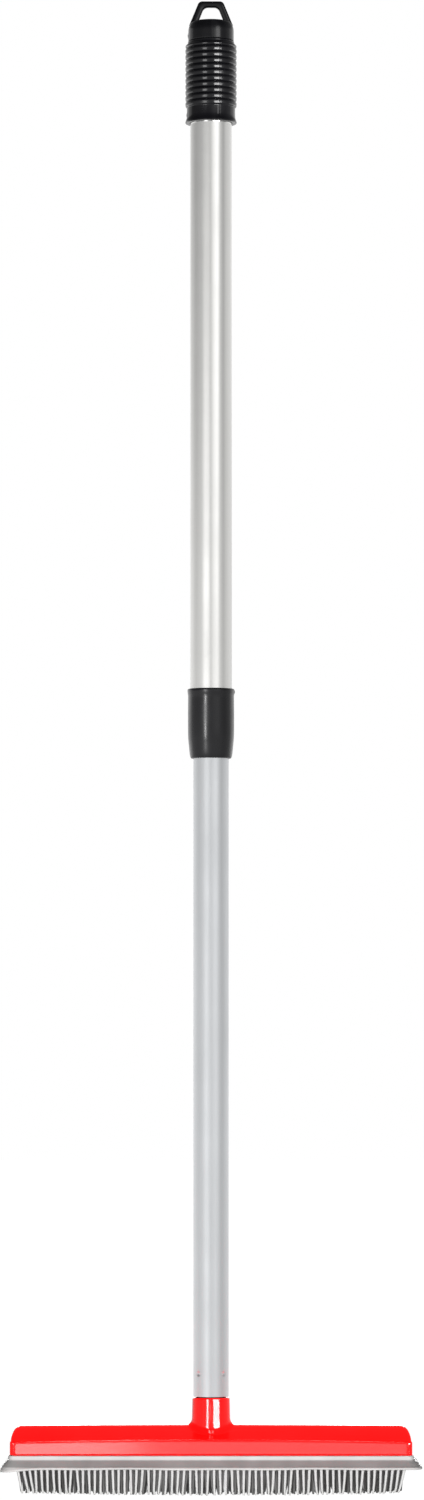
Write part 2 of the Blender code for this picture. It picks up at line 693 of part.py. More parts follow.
def make_lock_wedge(collection, cutters, finish):
    """Cone nut on the stud, keyed by four fins that ride in the sleeve's slots."""
    foot = taper_radius(WEDGE_BOTTOM) - SLIDE_CLEARANCE
    mouth = taper_radius(SLEEVE_TOP) - SLIDE_CLEARANCE
    wedge = turned_solid(
        "lock_wedge", [(0.0, WEDGE_TOP), (mouth, WEDGE_TOP), (mouth, SLEEVE_TOP), (foot, WEDGE_BOTTOM),
                       (0.0, WEDGE_BOTTOM)], collection, finish, segments=36)
    fin_half_width = SLEEVE_SLOT_WIDTH / 2 - SLIDE_CLEARANCE
    fin_reach = SLEEVE_RADIUS - SLEEVE_MOUTH_WALL / 2
    fins = mesh_from("fins", lambda bm: bmesh.ops.create_cube(bm, size=1.0, matrix=Matrix.Diagonal(
        (2 * fin_reach, 2 * fin_half_width, WEDGE_LENGTH - 0.002, 1.0))))
    for i, angle in enumerate((0.0, math.pi / 2)):
        fin = place(f"fin_{i + 1}", fins, cutters)
        fin.rotation_euler.z = angle
        fin.location.z = (WEDGE_TOP + WEDGE_BOTTOM) / 2
        combine(wedge, fin, "UNION")
    bore_radius = STUD_RADIUS + SLIDE_CLEARANCE
    bore = rod("wedge_bore", bore_radius, bore_radius, WEDGE_BOTTOM - CUT_MARGIN, WEDGE_TOP + CUT_MARGIN,
               cutters, segments=36)
    combine(wedge, bore, "DIFFERENCE")
    return wedge


def make_lock_washer(collection, finish):
    """Washer on the stud's end, which keeps the wedge from running off."""
    bottom, top = STUD_TOP + GAP, STUD_TOP + GAP + LOCK_WASHER_THICKNESS
    hole = LOCK_SCREW_RADIUS + GAP
    profile = [(LOCK_WASHER_RADIUS, top), (LOCK_WASHER_RADIUS, bottom), (hole, bottom), (hole, top)]
    return turned("lock_washer", profile, collection, finish, segments=24)


def make_lock_screw(collection, finish):
    """Pan-head screw down into the stud, over the washer."""
    head_bottom = STUD_TOP + LOCK_WASHER_THICKNESS + 2 * GAP
    head_top = head_bottom + LOCK_SCREW_HEAD_HEIGHT
    profile = [
        (0.0, head_top),
        (LOCK_SCREW_HEAD_RADIUS - 0.0012, head_top),
        (LOCK_SCREW_HEAD_RADIUS, head_top - 0.0012),
        (LOCK_SCREW_HEAD_RADIUS, head_bottom),
        (LOCK_SCREW_RADIUS, head_bottom),
        (LOCK_SCREW_RADIUS, STUD_TOP - LOCK_SCREW_LENGTH + LOCK_SCREW_RADIUS),
        (0.0, STUD_TOP - LOCK_SCREW_LENGTH),
    ]
    return turned_solid("lock_screw", profile, collection, finish, segments=24)


# Collar, grip and end cap on the upper tube
def make_collar(collection, finish):
    """Bush pressed on the upper tube's end: a lip at its top, a taper at its foot, and a ledge inside."""
    lip_radius = COLLAR_RADIUS + COLLAR_LIP
    foot_radius = LOWER_TUBE_RADIUS + SLIDE_CLEARANCE + COLLAR_FOOT_WALL
    ledge = COLLAR_BOTTOM + COLLAR_SHOULDER
    slide_bore = LOWER_TUBE_RADIUS + SLIDE_CLEARANCE
    profile = [
        (lip_radius - 0.0004, COLLAR_TOP),
        (lip_radius, COLLAR_TOP - 0.0004),
        (lip_radius, COLLAR_TOP - COLLAR_LIP_HEIGHT),
        (COLLAR_RADIUS, COLLAR_TOP - COLLAR_LIP_HEIGHT - 0.001),
        (COLLAR_RADIUS, COLLAR_BOTTOM + COLLAR_TAPER_HEIGHT),
        ((COLLAR_RADIUS * 3 + foot_radius) / 4, COLLAR_BOTTOM + COLLAR_TAPER_HEIGHT / 2),
        (foot_radius, COLLAR_BOTTOM + 0.001),
        (foot_radius - 0.0008, COLLAR_BOTTOM),
        (slide_bore, COLLAR_BOTTOM),
        (slide_bore, ledge),
        (UPPER_TUBE_RADIUS + GAP, ledge),
        (UPPER_TUBE_RADIUS + GAP, COLLAR_TOP),
    ]
    return turned("collar", profile, collection, finish)


def make_grip_sleeve(collection, finish):
    """Ribbed sleeve over the upper tube, with a plain band and a bead at its foot."""
    bottom, top = UPPER_TUBE_TOP - GRIP_LENGTH, UPPER_TUBE_TOP
    root, crest = GRIP_ROOT_RADIUS, GRIP_ROOT_RADIUS + RIB_HEIGHT
    profile = [(GRIP_BORE + 0.0011, top)]
    for i in range(RIB_COUNT):
        rib = top - FIRST_RIB_DROP - i * RIB_PITCH
        profile += [(crest, rib + 0.0004), (crest, rib - 0.0004), (root, rib - RIB_PITCH / 2)]
    profile += [
        (root, bottom + 0.0035),
        (root + GRIP_FOOT_BEAD, bottom + 0.0012),
        (root + GRIP_FOOT_BEAD, bottom),
        (GRIP_BORE, bottom),
        (GRIP_BORE, top),
    ]
    return turned("grip_sleeve", profile, collection, finish, segments=GRIP_SEGMENTS)


def make_end_cap(collection, cutters, finish):
    """Cap plugged into the upper tube, with a loop to hang the broom by."""
    plug_radius = UPPER_BORE - GAP
    plug_foot = CAP_BOTTOM - CAP_PLUG_LENGTH
    profile = [
        (0.0, CAP_TOP),
        (CAP_RADIUS - 0.0036, CAP_TOP),
        (CAP_RADIUS - 0.0020, CAP_TOP - 0.0010),
        (CAP_RADIUS - 0.0006, CAP_TOP - CAP_SHOULDER * 0.55),
        (CAP_RADIUS, CAP_TOP - CAP_SHOULDER),
        (CAP_RADIUS, CAP_BOTTOM),
        (plug_radius, CAP_BOTTOM),
        (plug_radius, plug_foot),
        (plug_radius - CAP_PLUG_WALL, plug_foot),
        (plug_radius - CAP_PLUG_WALL, CAP_BOTTOM),
        (0.0, CAP_BOTTOM),
    ]
    cap = turned_solid("end_cap", profile, collection, finish)
    foot = CAP_TOP - 0.003
    top = CAP_TOP + LOOP_HEIGHT
    hole_top = top - LOOP_BAR
    foot_half_width = CAP_RADIUS - 0.0018
    slant = math.degrees(math.atan2(top - foot, foot_half_width - LOOP_TOP_HALF_WIDTH))
    corner = arc((LOOP_TOP_HALF_WIDTH - LOOP_CORNER * 0.6, top - LOOP_CORNER), LOOP_CORNER, 90 - slant, 90, 4)
    outer = [(foot_half_width, foot)] + corner
    outer += [(-x, z) for x, z in reversed(outer)]
    hole_corner = HOLE_TOP_HALF_WIDTH * 0.6
    arch = arc((HOLE_TOP_HALF_WIDTH - hole_corner + 0.0008, hole_top - hole_corner), hole_corner, 20, 90, 4)
    hole = [(HOLE_FOOT_HALF_WIDTH, CAP_TOP + 0.0003)] + arch
    hole += [(-x, z) for x, z in reversed(hole)]
    loop = flat_outline("hanging_loop", [outer, hole], LOOP_THICKNESS, cutters)
    combine(cap, loop, "UNION")
    return cap


def main():
    for old in list(bpy.data.objects):
        bpy.data.objects.remove(old)
    broom = fresh_collection("carpet_broom")
    cutters = fresh_collection("cutters")
    red = material("red_plastic", (0.80, 0.012, 0.012), 0.18)
    grey_rubber = material("grey_rubber", (0.42, 0.41, 0.40), 0.6)
    black = material("black_plastic", (0.012, 0.012, 0.014), 0.35)
    upper_silver = material("upper_tube_paint", (0.62, 0.62, 0.60), 0.28, 0.9)
    lower_silver = material("lower_tube_paint", (0.60, 0.61, 0.63), 0.42, 0.7)
    nylon = material("lock_nylon", (0.75, 0.73, 0.68), 0.45)
    steel = material("zinc_steel", (0.6, 0.6, 0.58), 0.3, 1.0)
    plate_plastic = material("plate_plastic", (0.08, 0.08, 0.085), 0.5)

    for index in range(BRISTLE_ROWS):
        make_bristle_row(index, broom, grey_rubber)
    make_rubber_pad(broom, grey_rubber)
    make_base_plate(broom, cutters, plate_plastic)
    for index in range(SCREW_COUNT):
        make_base_plate_screw(index, broom, steel)
    make_head_shell(broom, cutters, red)
    make_thread_tip(broom, cutters, black)
    make_lower_tube(broom, cutters, lower_silver)
    make_lock_plug(broom, black)
    make_lock_sleeve(broom, cutters, nylon)
    make_lock_wedge(broom, cutters, nylon)
    make_lock_washer(broom, steel)
    make_lock_screw(broom, steel)
    make_collar(broom, black)
    make_tube("upper_tube", UPPER_TUBE_RADIUS, UPPER_TUBE_BOTTOM, UPPER_TUBE_LENGTH, broom, upper_silver)
    make_grip_sleeve(broom, black)
    make_end_cap(broom, cutters, black)


main()
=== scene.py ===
"""Rubber-bristle carpet broom on a telescoping twist-lock handle: the visible pieces and their finishes."""
import math

import bmesh
import bpy
import numpy as np
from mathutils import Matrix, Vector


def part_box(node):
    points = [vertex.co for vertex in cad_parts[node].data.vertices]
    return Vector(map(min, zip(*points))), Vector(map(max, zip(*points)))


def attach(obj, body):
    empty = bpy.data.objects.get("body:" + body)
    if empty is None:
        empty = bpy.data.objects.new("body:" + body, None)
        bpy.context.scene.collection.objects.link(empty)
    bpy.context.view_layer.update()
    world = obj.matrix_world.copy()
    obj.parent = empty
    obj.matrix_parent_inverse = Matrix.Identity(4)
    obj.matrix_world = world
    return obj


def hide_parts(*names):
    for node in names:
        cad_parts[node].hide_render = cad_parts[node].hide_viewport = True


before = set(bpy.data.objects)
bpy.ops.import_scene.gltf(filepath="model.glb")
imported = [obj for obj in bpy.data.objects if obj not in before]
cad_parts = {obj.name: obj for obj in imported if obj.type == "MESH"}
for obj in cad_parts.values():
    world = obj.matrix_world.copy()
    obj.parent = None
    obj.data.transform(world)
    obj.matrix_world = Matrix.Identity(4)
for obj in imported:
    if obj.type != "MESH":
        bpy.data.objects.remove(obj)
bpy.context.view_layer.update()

# ---------------------------------------------------------------- rubber bristles
# Tapered pegs in rows, moulded in one shot with the pad from soft grey rubber. In use the outer ones have
# taken a set towards the middle of the head, and the rest lean a little each their own way.
ROW_COUNT = 7
ROW_MARGIN = 0.00115  # from the end of a row to the middle of its last bristle
BRISTLE_PITCH = 0.00428
BRISTLE_SIDES = 10
BRISTLE_LEVELS = 9
BRISTLE_ROOT_RADIUS = 0.00112
BRISTLE_TIP_RADIUS = 0.00078
TIP_START = 0.965  # share of the length that is above the rounded tip
TIP_LEVELS = [0.985, 0.996, 1.0]
ROOT_SINK = 0.0006  # how far a bristle runs up into the pad
ROOT_FLARE = 0.55  # how much wider the root is where it meets the pad
ROOT_FLARE_FADE = 28.0  # how fast that fades down the bristle
END_LEAN = 0.0036  # how far the outermost tips have moved inwards
END_LEAN_FADE = 0.016
OWN_LEAN = 0.0009
OWN_HOOK = 0.0003  # how far the tip is bent to one side, over the part below HOOK_START
HOOK_SPREAD = 0.00035
HOOK_START = 0.8
TIP_BOW = 0.0016  # how much higher the tips are at the ends of the head
LENGTH_SPREAD = 0.0006


def grid_faces(rows, columns, wrap_rows=False, wrap_columns=False, offset=0):
    """Four-sided faces that join each point of a grid to its neighbours in the next row and column."""
    r = np.arange(rows if wrap_rows else rows - 1)
    c = np.arange(columns if wrap_columns else columns - 1)
    r, c = np.meshgrid(r, c, indexing="ij")
    r, c = r.ravel(), c.ravel()
    r2, c2 = (r + 1) % rows, (c + 1) % columns
    corners = [r * columns + c, r * columns + c2, r2 * columns + c2, r2 * columns + c]
    return offset + np.stack(corners, axis=1)


def mesh_of(name, points, faces, sharp_over):
    """A smooth-shaded mesh object from points and lists of faces. Points within 2 micrometres are merged, the
    faces are turned outwards, and edges over an angle in degrees stay sharp."""
    mesh = bpy.data.meshes.new(name)
    mesh.from_pydata(points.reshape(-1, 3).tolist(), [], [tuple(int(i) for i in f) for f in faces])
    work = bmesh.new()
    work.from_mesh(mesh)
    bmesh.ops.remove_doubles(work, verts=work.verts, dist=2e-6)
    bmesh.ops.recalc_face_normals(work, faces=work.faces)
    work.to_mesh(mesh)
    work.free()
    mesh.shade_smooth()
    mesh.set_sharp_from_angle(angle=math.radians(sharp_over))
    made = bpy.data.objects.new(name, mesh)
    bpy.context.scene.collection.objects.link(made)
    return made


def shader(name, colour, roughness, metallic=0.0, **sockets):
    """A new material: itself, its node tree, its Principled shader with the fixed values, and Object
    coordinates."""
    made = bpy.data.materials.new(name)
    made.use_nodes = True
    tree = made.node_tree
    surface = tree.nodes["Principled BSDF"]
    surface.inputs["Base Color"].default_value = (*colour, 1.0)
    surface.inputs["Roughness"].default_value = roughness
    surface.inputs["Metallic"].default_value = metallic
    for socket, value in sockets.items():
        surface.inputs[socket.replace("_", " ")].default_value = value
    place = tree.nodes.new("ShaderNodeTexCoord").outputs["Object"]
    return made, tree, surface, place


def noise(tree, place, scale, detail=3.0, stretch=(1.0, 1.0, 1.0), roughness=0.5):
    """Noise from 0 to 1 on Object coordinates, stretched along the axes with a small factor."""
    mapping = tree.nodes.new("ShaderNodeMapping")
    mapping.inputs["Scale"].default_value = stretch
    tree.links.new(place, mapping.inputs["Vector"])
    texture = tree.nodes.new("ShaderNodeTexNoise")
    texture.inputs["Scale"].default_value = scale
    texture.inputs["Detail"].default_value = detail
    texture.inputs["Roughness"].default_value = roughness
    tree.links.new(mapping.outputs["Vector"], texture.inputs["Vector"])
    return texture.outputs["Fac"]


def ramp(tree, factor, stops):
    """Turns a factor into the colours or greys at the stops, each (position, colour or grey)."""
    node = tree.nodes.new("ShaderNodeValToRGB")
    elements = node.color_ramp.elements
    while len(elements) < len(stops):
        elements.new(0.5)
    for element, (position, value) in zip(elements, stops):
        element.position = position
        element.color = (value, value, value, 1.0) if isinstance(value, float) else (*value, 1.0)
    tree.links.new(factor, node.inputs["Fac"])
    return node.outputs["Color"]


def mix(tree, factor, first, second, blend="MIX"):
    """Blends two colours by a factor. Each may be a socket or a fixed value."""
    node = tree.nodes.new("ShaderNodeMix")
    node.data_type = "RGBA"
    node.blend_type = blend
    for socket, value in ((node.inputs[0], factor), (node.inputs[6], first), (node.inputs[7], second)):
        if isinstance(value, bpy.types.NodeSocket):
            tree.links.new(value, socket)
        elif isinstance(value, float):
            socket.default_value = value
        else:
            socket.default_value = (*value, 1.0)
    return node.outputs[2]


def dress(tree, surface, colour, gloss, heights):
    """Links a colour and a roughness to the shader, unless one is None, and chains bumps, each (height
    factor, strength, depth in metres), onto its normal."""
    for factor, socket in ((colour, "Base Color"), (gloss, "Roughness")):
        if factor is not None:
            tree.links.new(factor, surface.inputs[socket])
    normal = None
    for height, strength, depth in heights:
        node = tree.nodes.new("ShaderNodeBump")
        node.inputs["Strength"].default_value = strength
        node.inputs["Distance"].default_value = depth
        tree.links.new(height, node.inputs["Height"])
        if normal is not None:
            tree.links.new(normal, node.inputs["Normal"])
        normal = node.outputs["Normal"]
    tree.links.new(normal, surface.inputs["Normal"])


def make_rubber(name, light, dark, roughness):
    """Matt rubber: cloudy shade from mould release, fine dust specks and a grainy skin. Gives the material,
    its tree, its shader, Object coordinates and its colour."""
    made, tree, surface, place = shader(name, light, roughness, Specular_IOR_Level=0.35)
    cloud = noise(tree, place, 60.0, 4.0)
    speck = noise(tree, place, 1800.0, 2.0)
    skin = noise(tree, place, 4200.0, 2.0)
    shade = ramp(tree, cloud, [(0.3, dark), (0.7, light)])
    dust = ramp(tree, speck, [(0.62, 0.0), (0.74, 0.35)])
    colour = mix(tree, dust, shade, tuple(min(1.0, 1.25 * c) for c in light))
    gloss = ramp(tree, cloud, [(0.3, roughness - 0.07), (0.7, roughness + 0.08)])
    dress(tree, surface, colour, gloss, [(skin, 0.35, 0.00004), (cloud, 0.2, 0.0003)])
    return made, tree, surface, place, colour


def bristle_row(name, along, node, rng):
    """Pegs swept along curved centrelines: each level's ring shrinks from root to tip and shifts with the
    lean, which grows with a power of the way down. The last rings follow a quarter ellipse to a point, for a
    rounded tip."""
    low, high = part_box(node)
    middle = (low.y + high.y) / 2
    top = high.z + ROOT_SINK
    count = len(along)
    reach = np.abs(along).max()
    inward = -np.sign(along) * END_LEAN * np.exp(-(reach - np.abs(along)) / END_LEAN_FADE)
    wander = rng.normal(0.0, OWN_LEAN, count)
    hook = rng.normal(0.0, HOOK_SPREAD, count) + np.where(rng.random(count) < 0.5, OWN_HOOK, -OWN_HOOK)
    back = rng.normal(0.0, OWN_LEAN * 0.8, count)
    foot = low.z + TIP_BOW * (along / reach) ** 2 + rng.random(count) * LENGTH_SPREAD
    t = np.concatenate([np.linspace(0.0, 1.0, BRISTLE_LEVELS) * TIP_START, TIP_LEVELS])
    into_tip = np.clip((t - TIP_START) / (1.0 - TIP_START), 0.0, 1.0)
    radius = BRISTLE_ROOT_RADIUS + (BRISTLE_TIP_RADIUS - BRISTLE_ROOT_RADIUS) * t
    radius = radius * np.sqrt(1.0 - into_tip ** 2) * (1.0 + ROOT_FLARE * np.exp(-t * ROOT_FLARE_FADE))
    into_hook = np.clip((t - HOOK_START) / (1.0 - HOOK_START), 0.0, 1.0)
    sway = inward[:, None] * t ** 1.1 + wander[:, None] * t ** 1.6 + hook[:, None] * into_hook ** 2
    lag = back[:, None] * t ** 2
    angle = np.arange(BRISTLE_SIDES) * math.tau / BRISTLE_SIDES
    x = along[:, None, None] + sway[:, :, None] + radius[None, :, None] * np.cos(angle)
    y = middle + lag[:, :, None] + radius[None, :, None] * np.sin(angle)
    z = (top + (foot - top)[:, None] * t)[:, :, None]
    points = np.stack(np.broadcast_arrays(x, y, z), axis=-1)
    starts = np.arange(count) * len(t) * BRISTLE_SIDES
    one = grid_faces(len(t), BRISTLE_SIDES, wrap_columns=True)
    faces = (one[None] + starts[:, None, None]).reshape(-1, 4).tolist()
    faces += (np.arange(BRISTLE_SIDES)[::-1][None] + starts[:, None]).tolist()
    return mesh_of(name, points, faces, 40.0)


bristle_rubber = make_rubber("bristle_rubber", (0.48, 0.475, 0.47), (0.41, 0.405, 0.40), 0.5)[0]
rng = np.random.default_rng(11)
rows = []
for number in range(1, ROW_COUNT + 1):
    node = f"bristle_row_{number}"
    low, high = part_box(node)
    half = (high.x - low.x) / 2 - ROW_MARGIN
    places = np.linspace(-half, half, int(round(2 * half / BRISTLE_PITCH)) + 1)
    row = bristle_row(f"bristles_{number}", places, node, rng)
    row.data.materials.append(bristle_rubber)
    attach(row, "lower_assembly")
    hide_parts(node)
    rows.append(row)

# ---------------------------------------------------------------- rubber pad and skirt
# The rest of the brush moulding: a rim that hooks over the base plate, and a concave squeegee skirt that
# flares out to a thin lip. The free skirt is soft, so it waves a little and droops at one end.
PIECE_GAP = 0.0003  # between neighbouring pieces of the head
SHELL_CORNER = 0.003  # corner radius in plan at the shell's foot
LEAST_CORNER = 0.0006
SKIRT_ROOT = 0.0012  # how far outside the shell the skirt becomes free
SKIRT_DROOP = 0.0018
DROOP_LENGTH = 0.018
# (height, radians to the metre along X, the same along Y, start)
SKIRT_WAVES = [(0.00022, 95.0, 0.0, 0.7), (0.00016, 41.0, 60.0, 0.0)]


def outline_of(corner_steps, long_steps, short_steps):
    """A rounded rectangle's outline as (centre signs, normals): a point is signs * (half size - corner) plus
    normal * corner. Straight sides run between the corners' centres."""
    signs, normals = [], []
    for quarter, (sx, sy) in enumerate([(1, 1), (-1, 1), (-1, -1), (1, -1)]):
        a = np.radians(90.0 * quarter + np.linspace(0.0, 90.0, corner_steps))
        signs.append(np.tile([sx, sy], (corner_steps, 1)))
        normals.append(np.stack([np.cos(a), np.sin(a)], axis=1))
        run = long_steps if quarter % 2 == 0 else short_steps
        way = np.linspace(1.0, -1.0, run + 2)[1:-1, None]
        fixed = np.ones_like(way)
        signs.append(np.hstack([(way, fixed), (-fixed, way), (-way, -fixed), (fixed, -way)][quarter]))
        straight = math.radians(90.0 * quarter + 90.0)
        normals.append(np.tile([math.cos(straight), math.sin(straight)], (run, 1)))
    return np.concatenate(signs).astype(float), np.concatenate(normals)


def rings_of(outline, half_x, half_y, corner):
    """Points of one rounded rectangle for each set of sizes: an array of (rings, outline points, 2)."""
    signs, normals = outline
    half_x, half_y, corner = (np.asarray(v, float)[:, None] for v in (half_x, half_y, corner))
    x = signs[:, 0] * (half_x - corner) + normals[:, 0] * corner
    y = signs[:, 1] * (half_y - corner) + normals[:, 1] * corner
    return np.stack([x, y], axis=-1)


shell_low, shell_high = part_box("head_shell")
pad_low, pad_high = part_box("rubber_pad")
plate_low, plate_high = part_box("base_plate")
half_x, half_y = shell_high.x, shell_high.y
rim_top, lip_z = pad_high.z, pad_low.z
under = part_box("bristle_row_1")[1].z + PIECE_GAP
reach = pad_high.x - half_x
inset = half_x - plate_high.x - PIECE_GAP
# (outwards from the shell's side, height) from the underside round the lip, up to the rim and into the pocket
skirt = np.array([
    (-0.0020, under), (0.0000, under + 0.0001), (0.0014, under + 0.0013), (0.0024, under + 0.0020),
    (reach - 0.0036, under + 0.0021), (reach - 0.0026, under + 0.0016), (reach - 0.0018, under + 0.0005),
    (reach - 0.0014, lip_z + 0.0004), (reach - 0.0012, lip_z + 0.0001), (reach - 0.0008, lip_z),
    (reach - 0.0003, lip_z + 0.0001), (reach, lip_z + 0.0004), (reach, lip_z + 0.0013),
    (reach - 0.0003, lip_z + 0.0017), (reach - 0.0008, lip_z + 0.0020), (reach - 0.0016, lip_z + 0.0027),
    (reach - 0.0024, lip_z + 0.0038), (reach - 0.0036, lip_z + 0.0050), (reach - 0.0048, lip_z + 0.0059),
    (0.0019, lip_z + 0.0064), (0.0014, lip_z + 0.0067), (0.0012, lip_z + 0.0072),
    (0.0011, rim_top - 0.0012), (0.0010, rim_top - 0.0004), (0.0007, rim_top - 0.0001), (0.0003, rim_top),
    (-0.0033, rim_top), (-0.0035, rim_top - 0.0002), (-0.0035, plate_high.z + PIECE_GAP),
    (-inset, plate_high.z + PIECE_GAP), (-inset, plate_low.z - PIECE_GAP),
])
corner = np.maximum(SHELL_CORNER + skirt[:, 0], LEAST_CORNER)
rings = rings_of(outline_of(9, 110, 18), half_x + skirt[:, 0], half_y + skirt[:, 0], corner)
rings = np.concatenate([rings, np.repeat(skirt[:, None, 1:], rings.shape[1], axis=1)], axis=2)
# How free a point of the skirt is: nothing at the rim, all of it at the lip
free = np.clip((skirt[:, 0] - SKIRT_ROOT) / (reach - SKIRT_ROOT), 0.0, 1.0)[:, None] ** 1.5
x, y = rings[..., 0], rings[..., 1]
wave = sum(size * np.sin(x * by_x + y * by_y + start) for size, by_x, by_y, start in SKIRT_WAVES)
droop = SKIRT_DROOP * np.exp(-((x + half_x + reach) / DROOP_LENGTH) ** 2)
rings[..., 2] += free * (wave - droop)
levels, around = rings.shape[:2]
faces = grid_faces(levels, around, wrap_columns=True).tolist()
faces += [list(range(around))[::-1], list(range((levels - 1) * around, levels * around))]
skirt_piece = mesh_of("brush_pad", rings, faces, 50.0)
# The pad is the bristles' rubber, set in slightly darker greys as painted shade for the up-facing skirt
pad_rubber, tree, surface, place, colour = make_rubber(
    "pad_rubber", (0.46, 0.445, 0.44), (0.38, 0.37, 0.365), 0.52)
# The hollow of the skirt between the rim and the lip is painted darker by height, a painted shade where it
# faces up; the rim and the lip keep the full grey
split = tree.nodes.new("ShaderNodeSeparateXYZ")
tree.links.new(place, split.inputs[0])
level = tree.nodes.new("ShaderNodeMapRange")
level.inputs["From Min"].default_value = lip_z
level.inputs["From Max"].default_value = rim_top
tree.links.new(split.outputs["Z"], level.inputs["Value"])
bloom_and_painted_shade = ramp(tree, level.outputs["Result"], [(0.12, 1.0), (0.22, 0.48), (0.62, 0.55), (0.74, 1.0)])
tree.links.new(mix(tree, 1.0, colour, bloom_and_painted_shade, "MULTIPLY"), surface.inputs["Base Color"])
skirt_piece.data.materials.append(pad_rubber)
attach(skirt_piece, "lower_assembly")
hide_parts("rubber_pad")

# ---------------------------------------------------------------- base plate and its screws
# A flat ABS plate with a sheen from the tool, which closes the head from below. Six zinc-plated self-tapping
# screws hold it up into the head, with the rubber's rim hooked over its edge.
plate_finish, tree, surface, place = shader("plate_plastic", (0.03, 0.03, 0.033), 0.5)
colour = ramp(tree, noise(tree, place, 90.0), [(0.3, (0.022, 0.022, 0.025)), (0.7, (0.04, 0.04, 0.043))])
dress(tree, surface, colour, None, [(noise(tree, place, 2500.0), 0.3, 0.00003)])
zinc, tree, surface, place = shader("zinc_plate", (0.62, 0.62, 0.60), 0.3, 1.0)
colour = ramp(tree, noise(tree, place, 300.0), [(0.3, (0.66, 0.64, 0.52)), (0.7, (0.58, 0.60, 0.62))])
gloss = ramp(tree, noise(tree, place, 700.0), [(0.35, 0.22), (0.65, 0.42)])
dress(tree, surface, colour, gloss, [(noise(tree, place, 1500.0, stretch=(1.0, 1.0, 0.1)), 0.25, 0.00003)])


def finish_node(name, material):
    """Gives a CAD node its material in every slot."""
    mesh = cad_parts[name].data
    mesh.materials.clear()
    mesh.materials.append(material)


finish_node("base_plate", plate_finish)
for name in [f"base_plate_screw_{i}" for i in range(1, 7)] + ["lock_washer", "lock_screw"]:
    finish_node(name, zinc)

# ---------------------------------------------------------------- head shell
# One high-gloss red polypropylene moulding: an upright band, a gabled roof with rounded ends, and a drafted
# socket that runs into the roof with a fillet. The wall is even, so the inside follows the outside.
SHELL_WALL = 0.0024
BAND_HEIGHT = 0.0112
RIDGE_RISE = 0.0097  # from the crease up to the ridge
CREASE_DROP = 0.0018  # how much lower the crease is at the head's ends
RIDGE_DROP = 0.0008  # the same for the ridge
RIDGE_ROUNDNESS = 0.004
END_ROUNDNESS = 0.0070
CREASE_RADIUS = 0.0012
CREASE_TURN = 64.0
FOOT_ROUNDING = np.array([0.0004, 0.00012, 0.0])
ROOF_RINGS = 30
ROOF_CROWDING = 1.25  # over 1, the rings stand closer together near the ridge
NEAR_RIDGE = 0.00025
SOCKET_SIDES = 96
SOCKET_DROP = 0.0012  # from the CAD's mouth to this one
SOCKET_MOUTH = 0.0135
SOCKET_BORE = 0.0104
SOCKET_DRAFT = 0.022
SOCKET_FILLET = 0.0042
FILLET_SINK = 0.0009  # how far the fillet's edge runs into the roof
COLUMN_LIFT = 0.0062  # from the shell's foot up to the socket's
MOUTH_ROUNDING = 0.0006
BORE_CHAMFER = 0.0008
BORE_FLOOR = 0.003
NEAR_AXIS = 0.0002

bottom = rim_top + PIECE_GAP
crease_mid = bottom + BAND_HEIGHT
ridge_mid = crease_mid + RIDGE_RISE


def roof_fall(across):
    """How far the roof falls by a distance from the ridge, unscaled: a hyperbola, round at the ridge and
    straight further out."""
    return np.hypot(across, RIDGE_ROUNDNESS) - RIDGE_ROUNDNESS


def roof_share(across):
    """Share of the roof's rise at a distance from the ridge: 1 at the ridge and 0 at the crease."""
    return 1.0 - roof_fall(across) / roof_fall(half_y)


def crease_at(x):
    """Height of the crease: a bow that drops with the square of the way to the head's end."""
    return crease_mid - CREASE_DROP * (x / half_x) ** 2


def roof_at(x, share):
    """Height of the roof: the crease's bow plus a share of the way to the ridge's bow."""
    ridge = ridge_mid - RIDGE_DROP * (x / half_x) ** 2
    return crease_at(x) + share * (ridge - crease_at(x))


def shell_rings(shrink):
    """Rings of the shell from its foot up the band, round the crease and over the roof to the ridge. A ring's
    height is bent along X with the crease. Shrink moves the whole skin inwards, for the inside."""
    turn = np.radians(np.linspace(0.0, CREASE_TURN, 7))
    tangent = CREASE_RADIUS * math.tan(math.radians(CREASE_TURN / 2))
    band = np.linspace(0.12, 1.0, 6)
    arc_in = CREASE_RADIUS * (1.0 - np.cos(turn))
    arc_up = CREASE_RADIUS * np.sin(turn) - tangent
    across = (half_y - arc_in[-1]) * (1.0 - np.linspace(0.0, 1.0, ROOF_RINGS)) ** ROOF_CROWDING
    across = np.maximum(across, NEAR_RIDGE)[1:]
    share = roof_share(across)
    end = half_x - arc_in[-1] - END_ROUNDNESS * (1.0 - np.sqrt(np.clip(1.0 - share ** 2, 0.0, 1.0)))
    inward = np.concatenate([FOOT_ROUNDING, np.zeros(len(band)), arc_in[1:]])
    hx = np.concatenate([half_x - inward, end]) - shrink
    hy = np.concatenate([half_y - inward - shrink, np.maximum(across - shrink * (across / half_y), 0.0002)])
    corner = SHELL_CORNER - np.concatenate([inward, np.full(len(across), 0.0005)]) - shrink * 0.5
    # Near the ridge a ring is too narrow for the whole corner
    corner = np.minimum(np.maximum(corner, LEAST_CORNER), hy * 0.8)
    plan = rings_of(outline_of(9, 90, 22), hx, hy, corner)
    x = plan[..., 0]
    foot_end = len(FOOT_ROUNDING)
    band_end = foot_end + len(band)
    arc_end = len(inward)
    rise = np.empty(plan.shape[:2])
    rise[:foot_end] = bottom + FOOT_ROUNDING[::-1, None]
    rise[foot_end:band_end] = bottom + band[:, None] * (crease_at(x[foot_end:band_end]) - tangent - bottom)
    rise[band_end:arc_end] = crease_at(x[band_end:arc_end]) + arc_up[1:, None]
    rise[arc_end:] = roof_at(x[arc_end:], share[:, None])
    rise -= shrink * np.clip((rise - bottom) / BAND_HEIGHT, 0.0, 1.0)
    return np.concatenate([plan, rise[..., None]], axis=2)


outer = shell_rings(0.0)
inner = shell_rings(SHELL_WALL)
levels, around = outer.shape[:2]
faces = grid_faces(levels, around, wrap_columns=True).tolist()
faces += grid_faces(levels, around, wrap_columns=True, offset=levels * around).tolist()
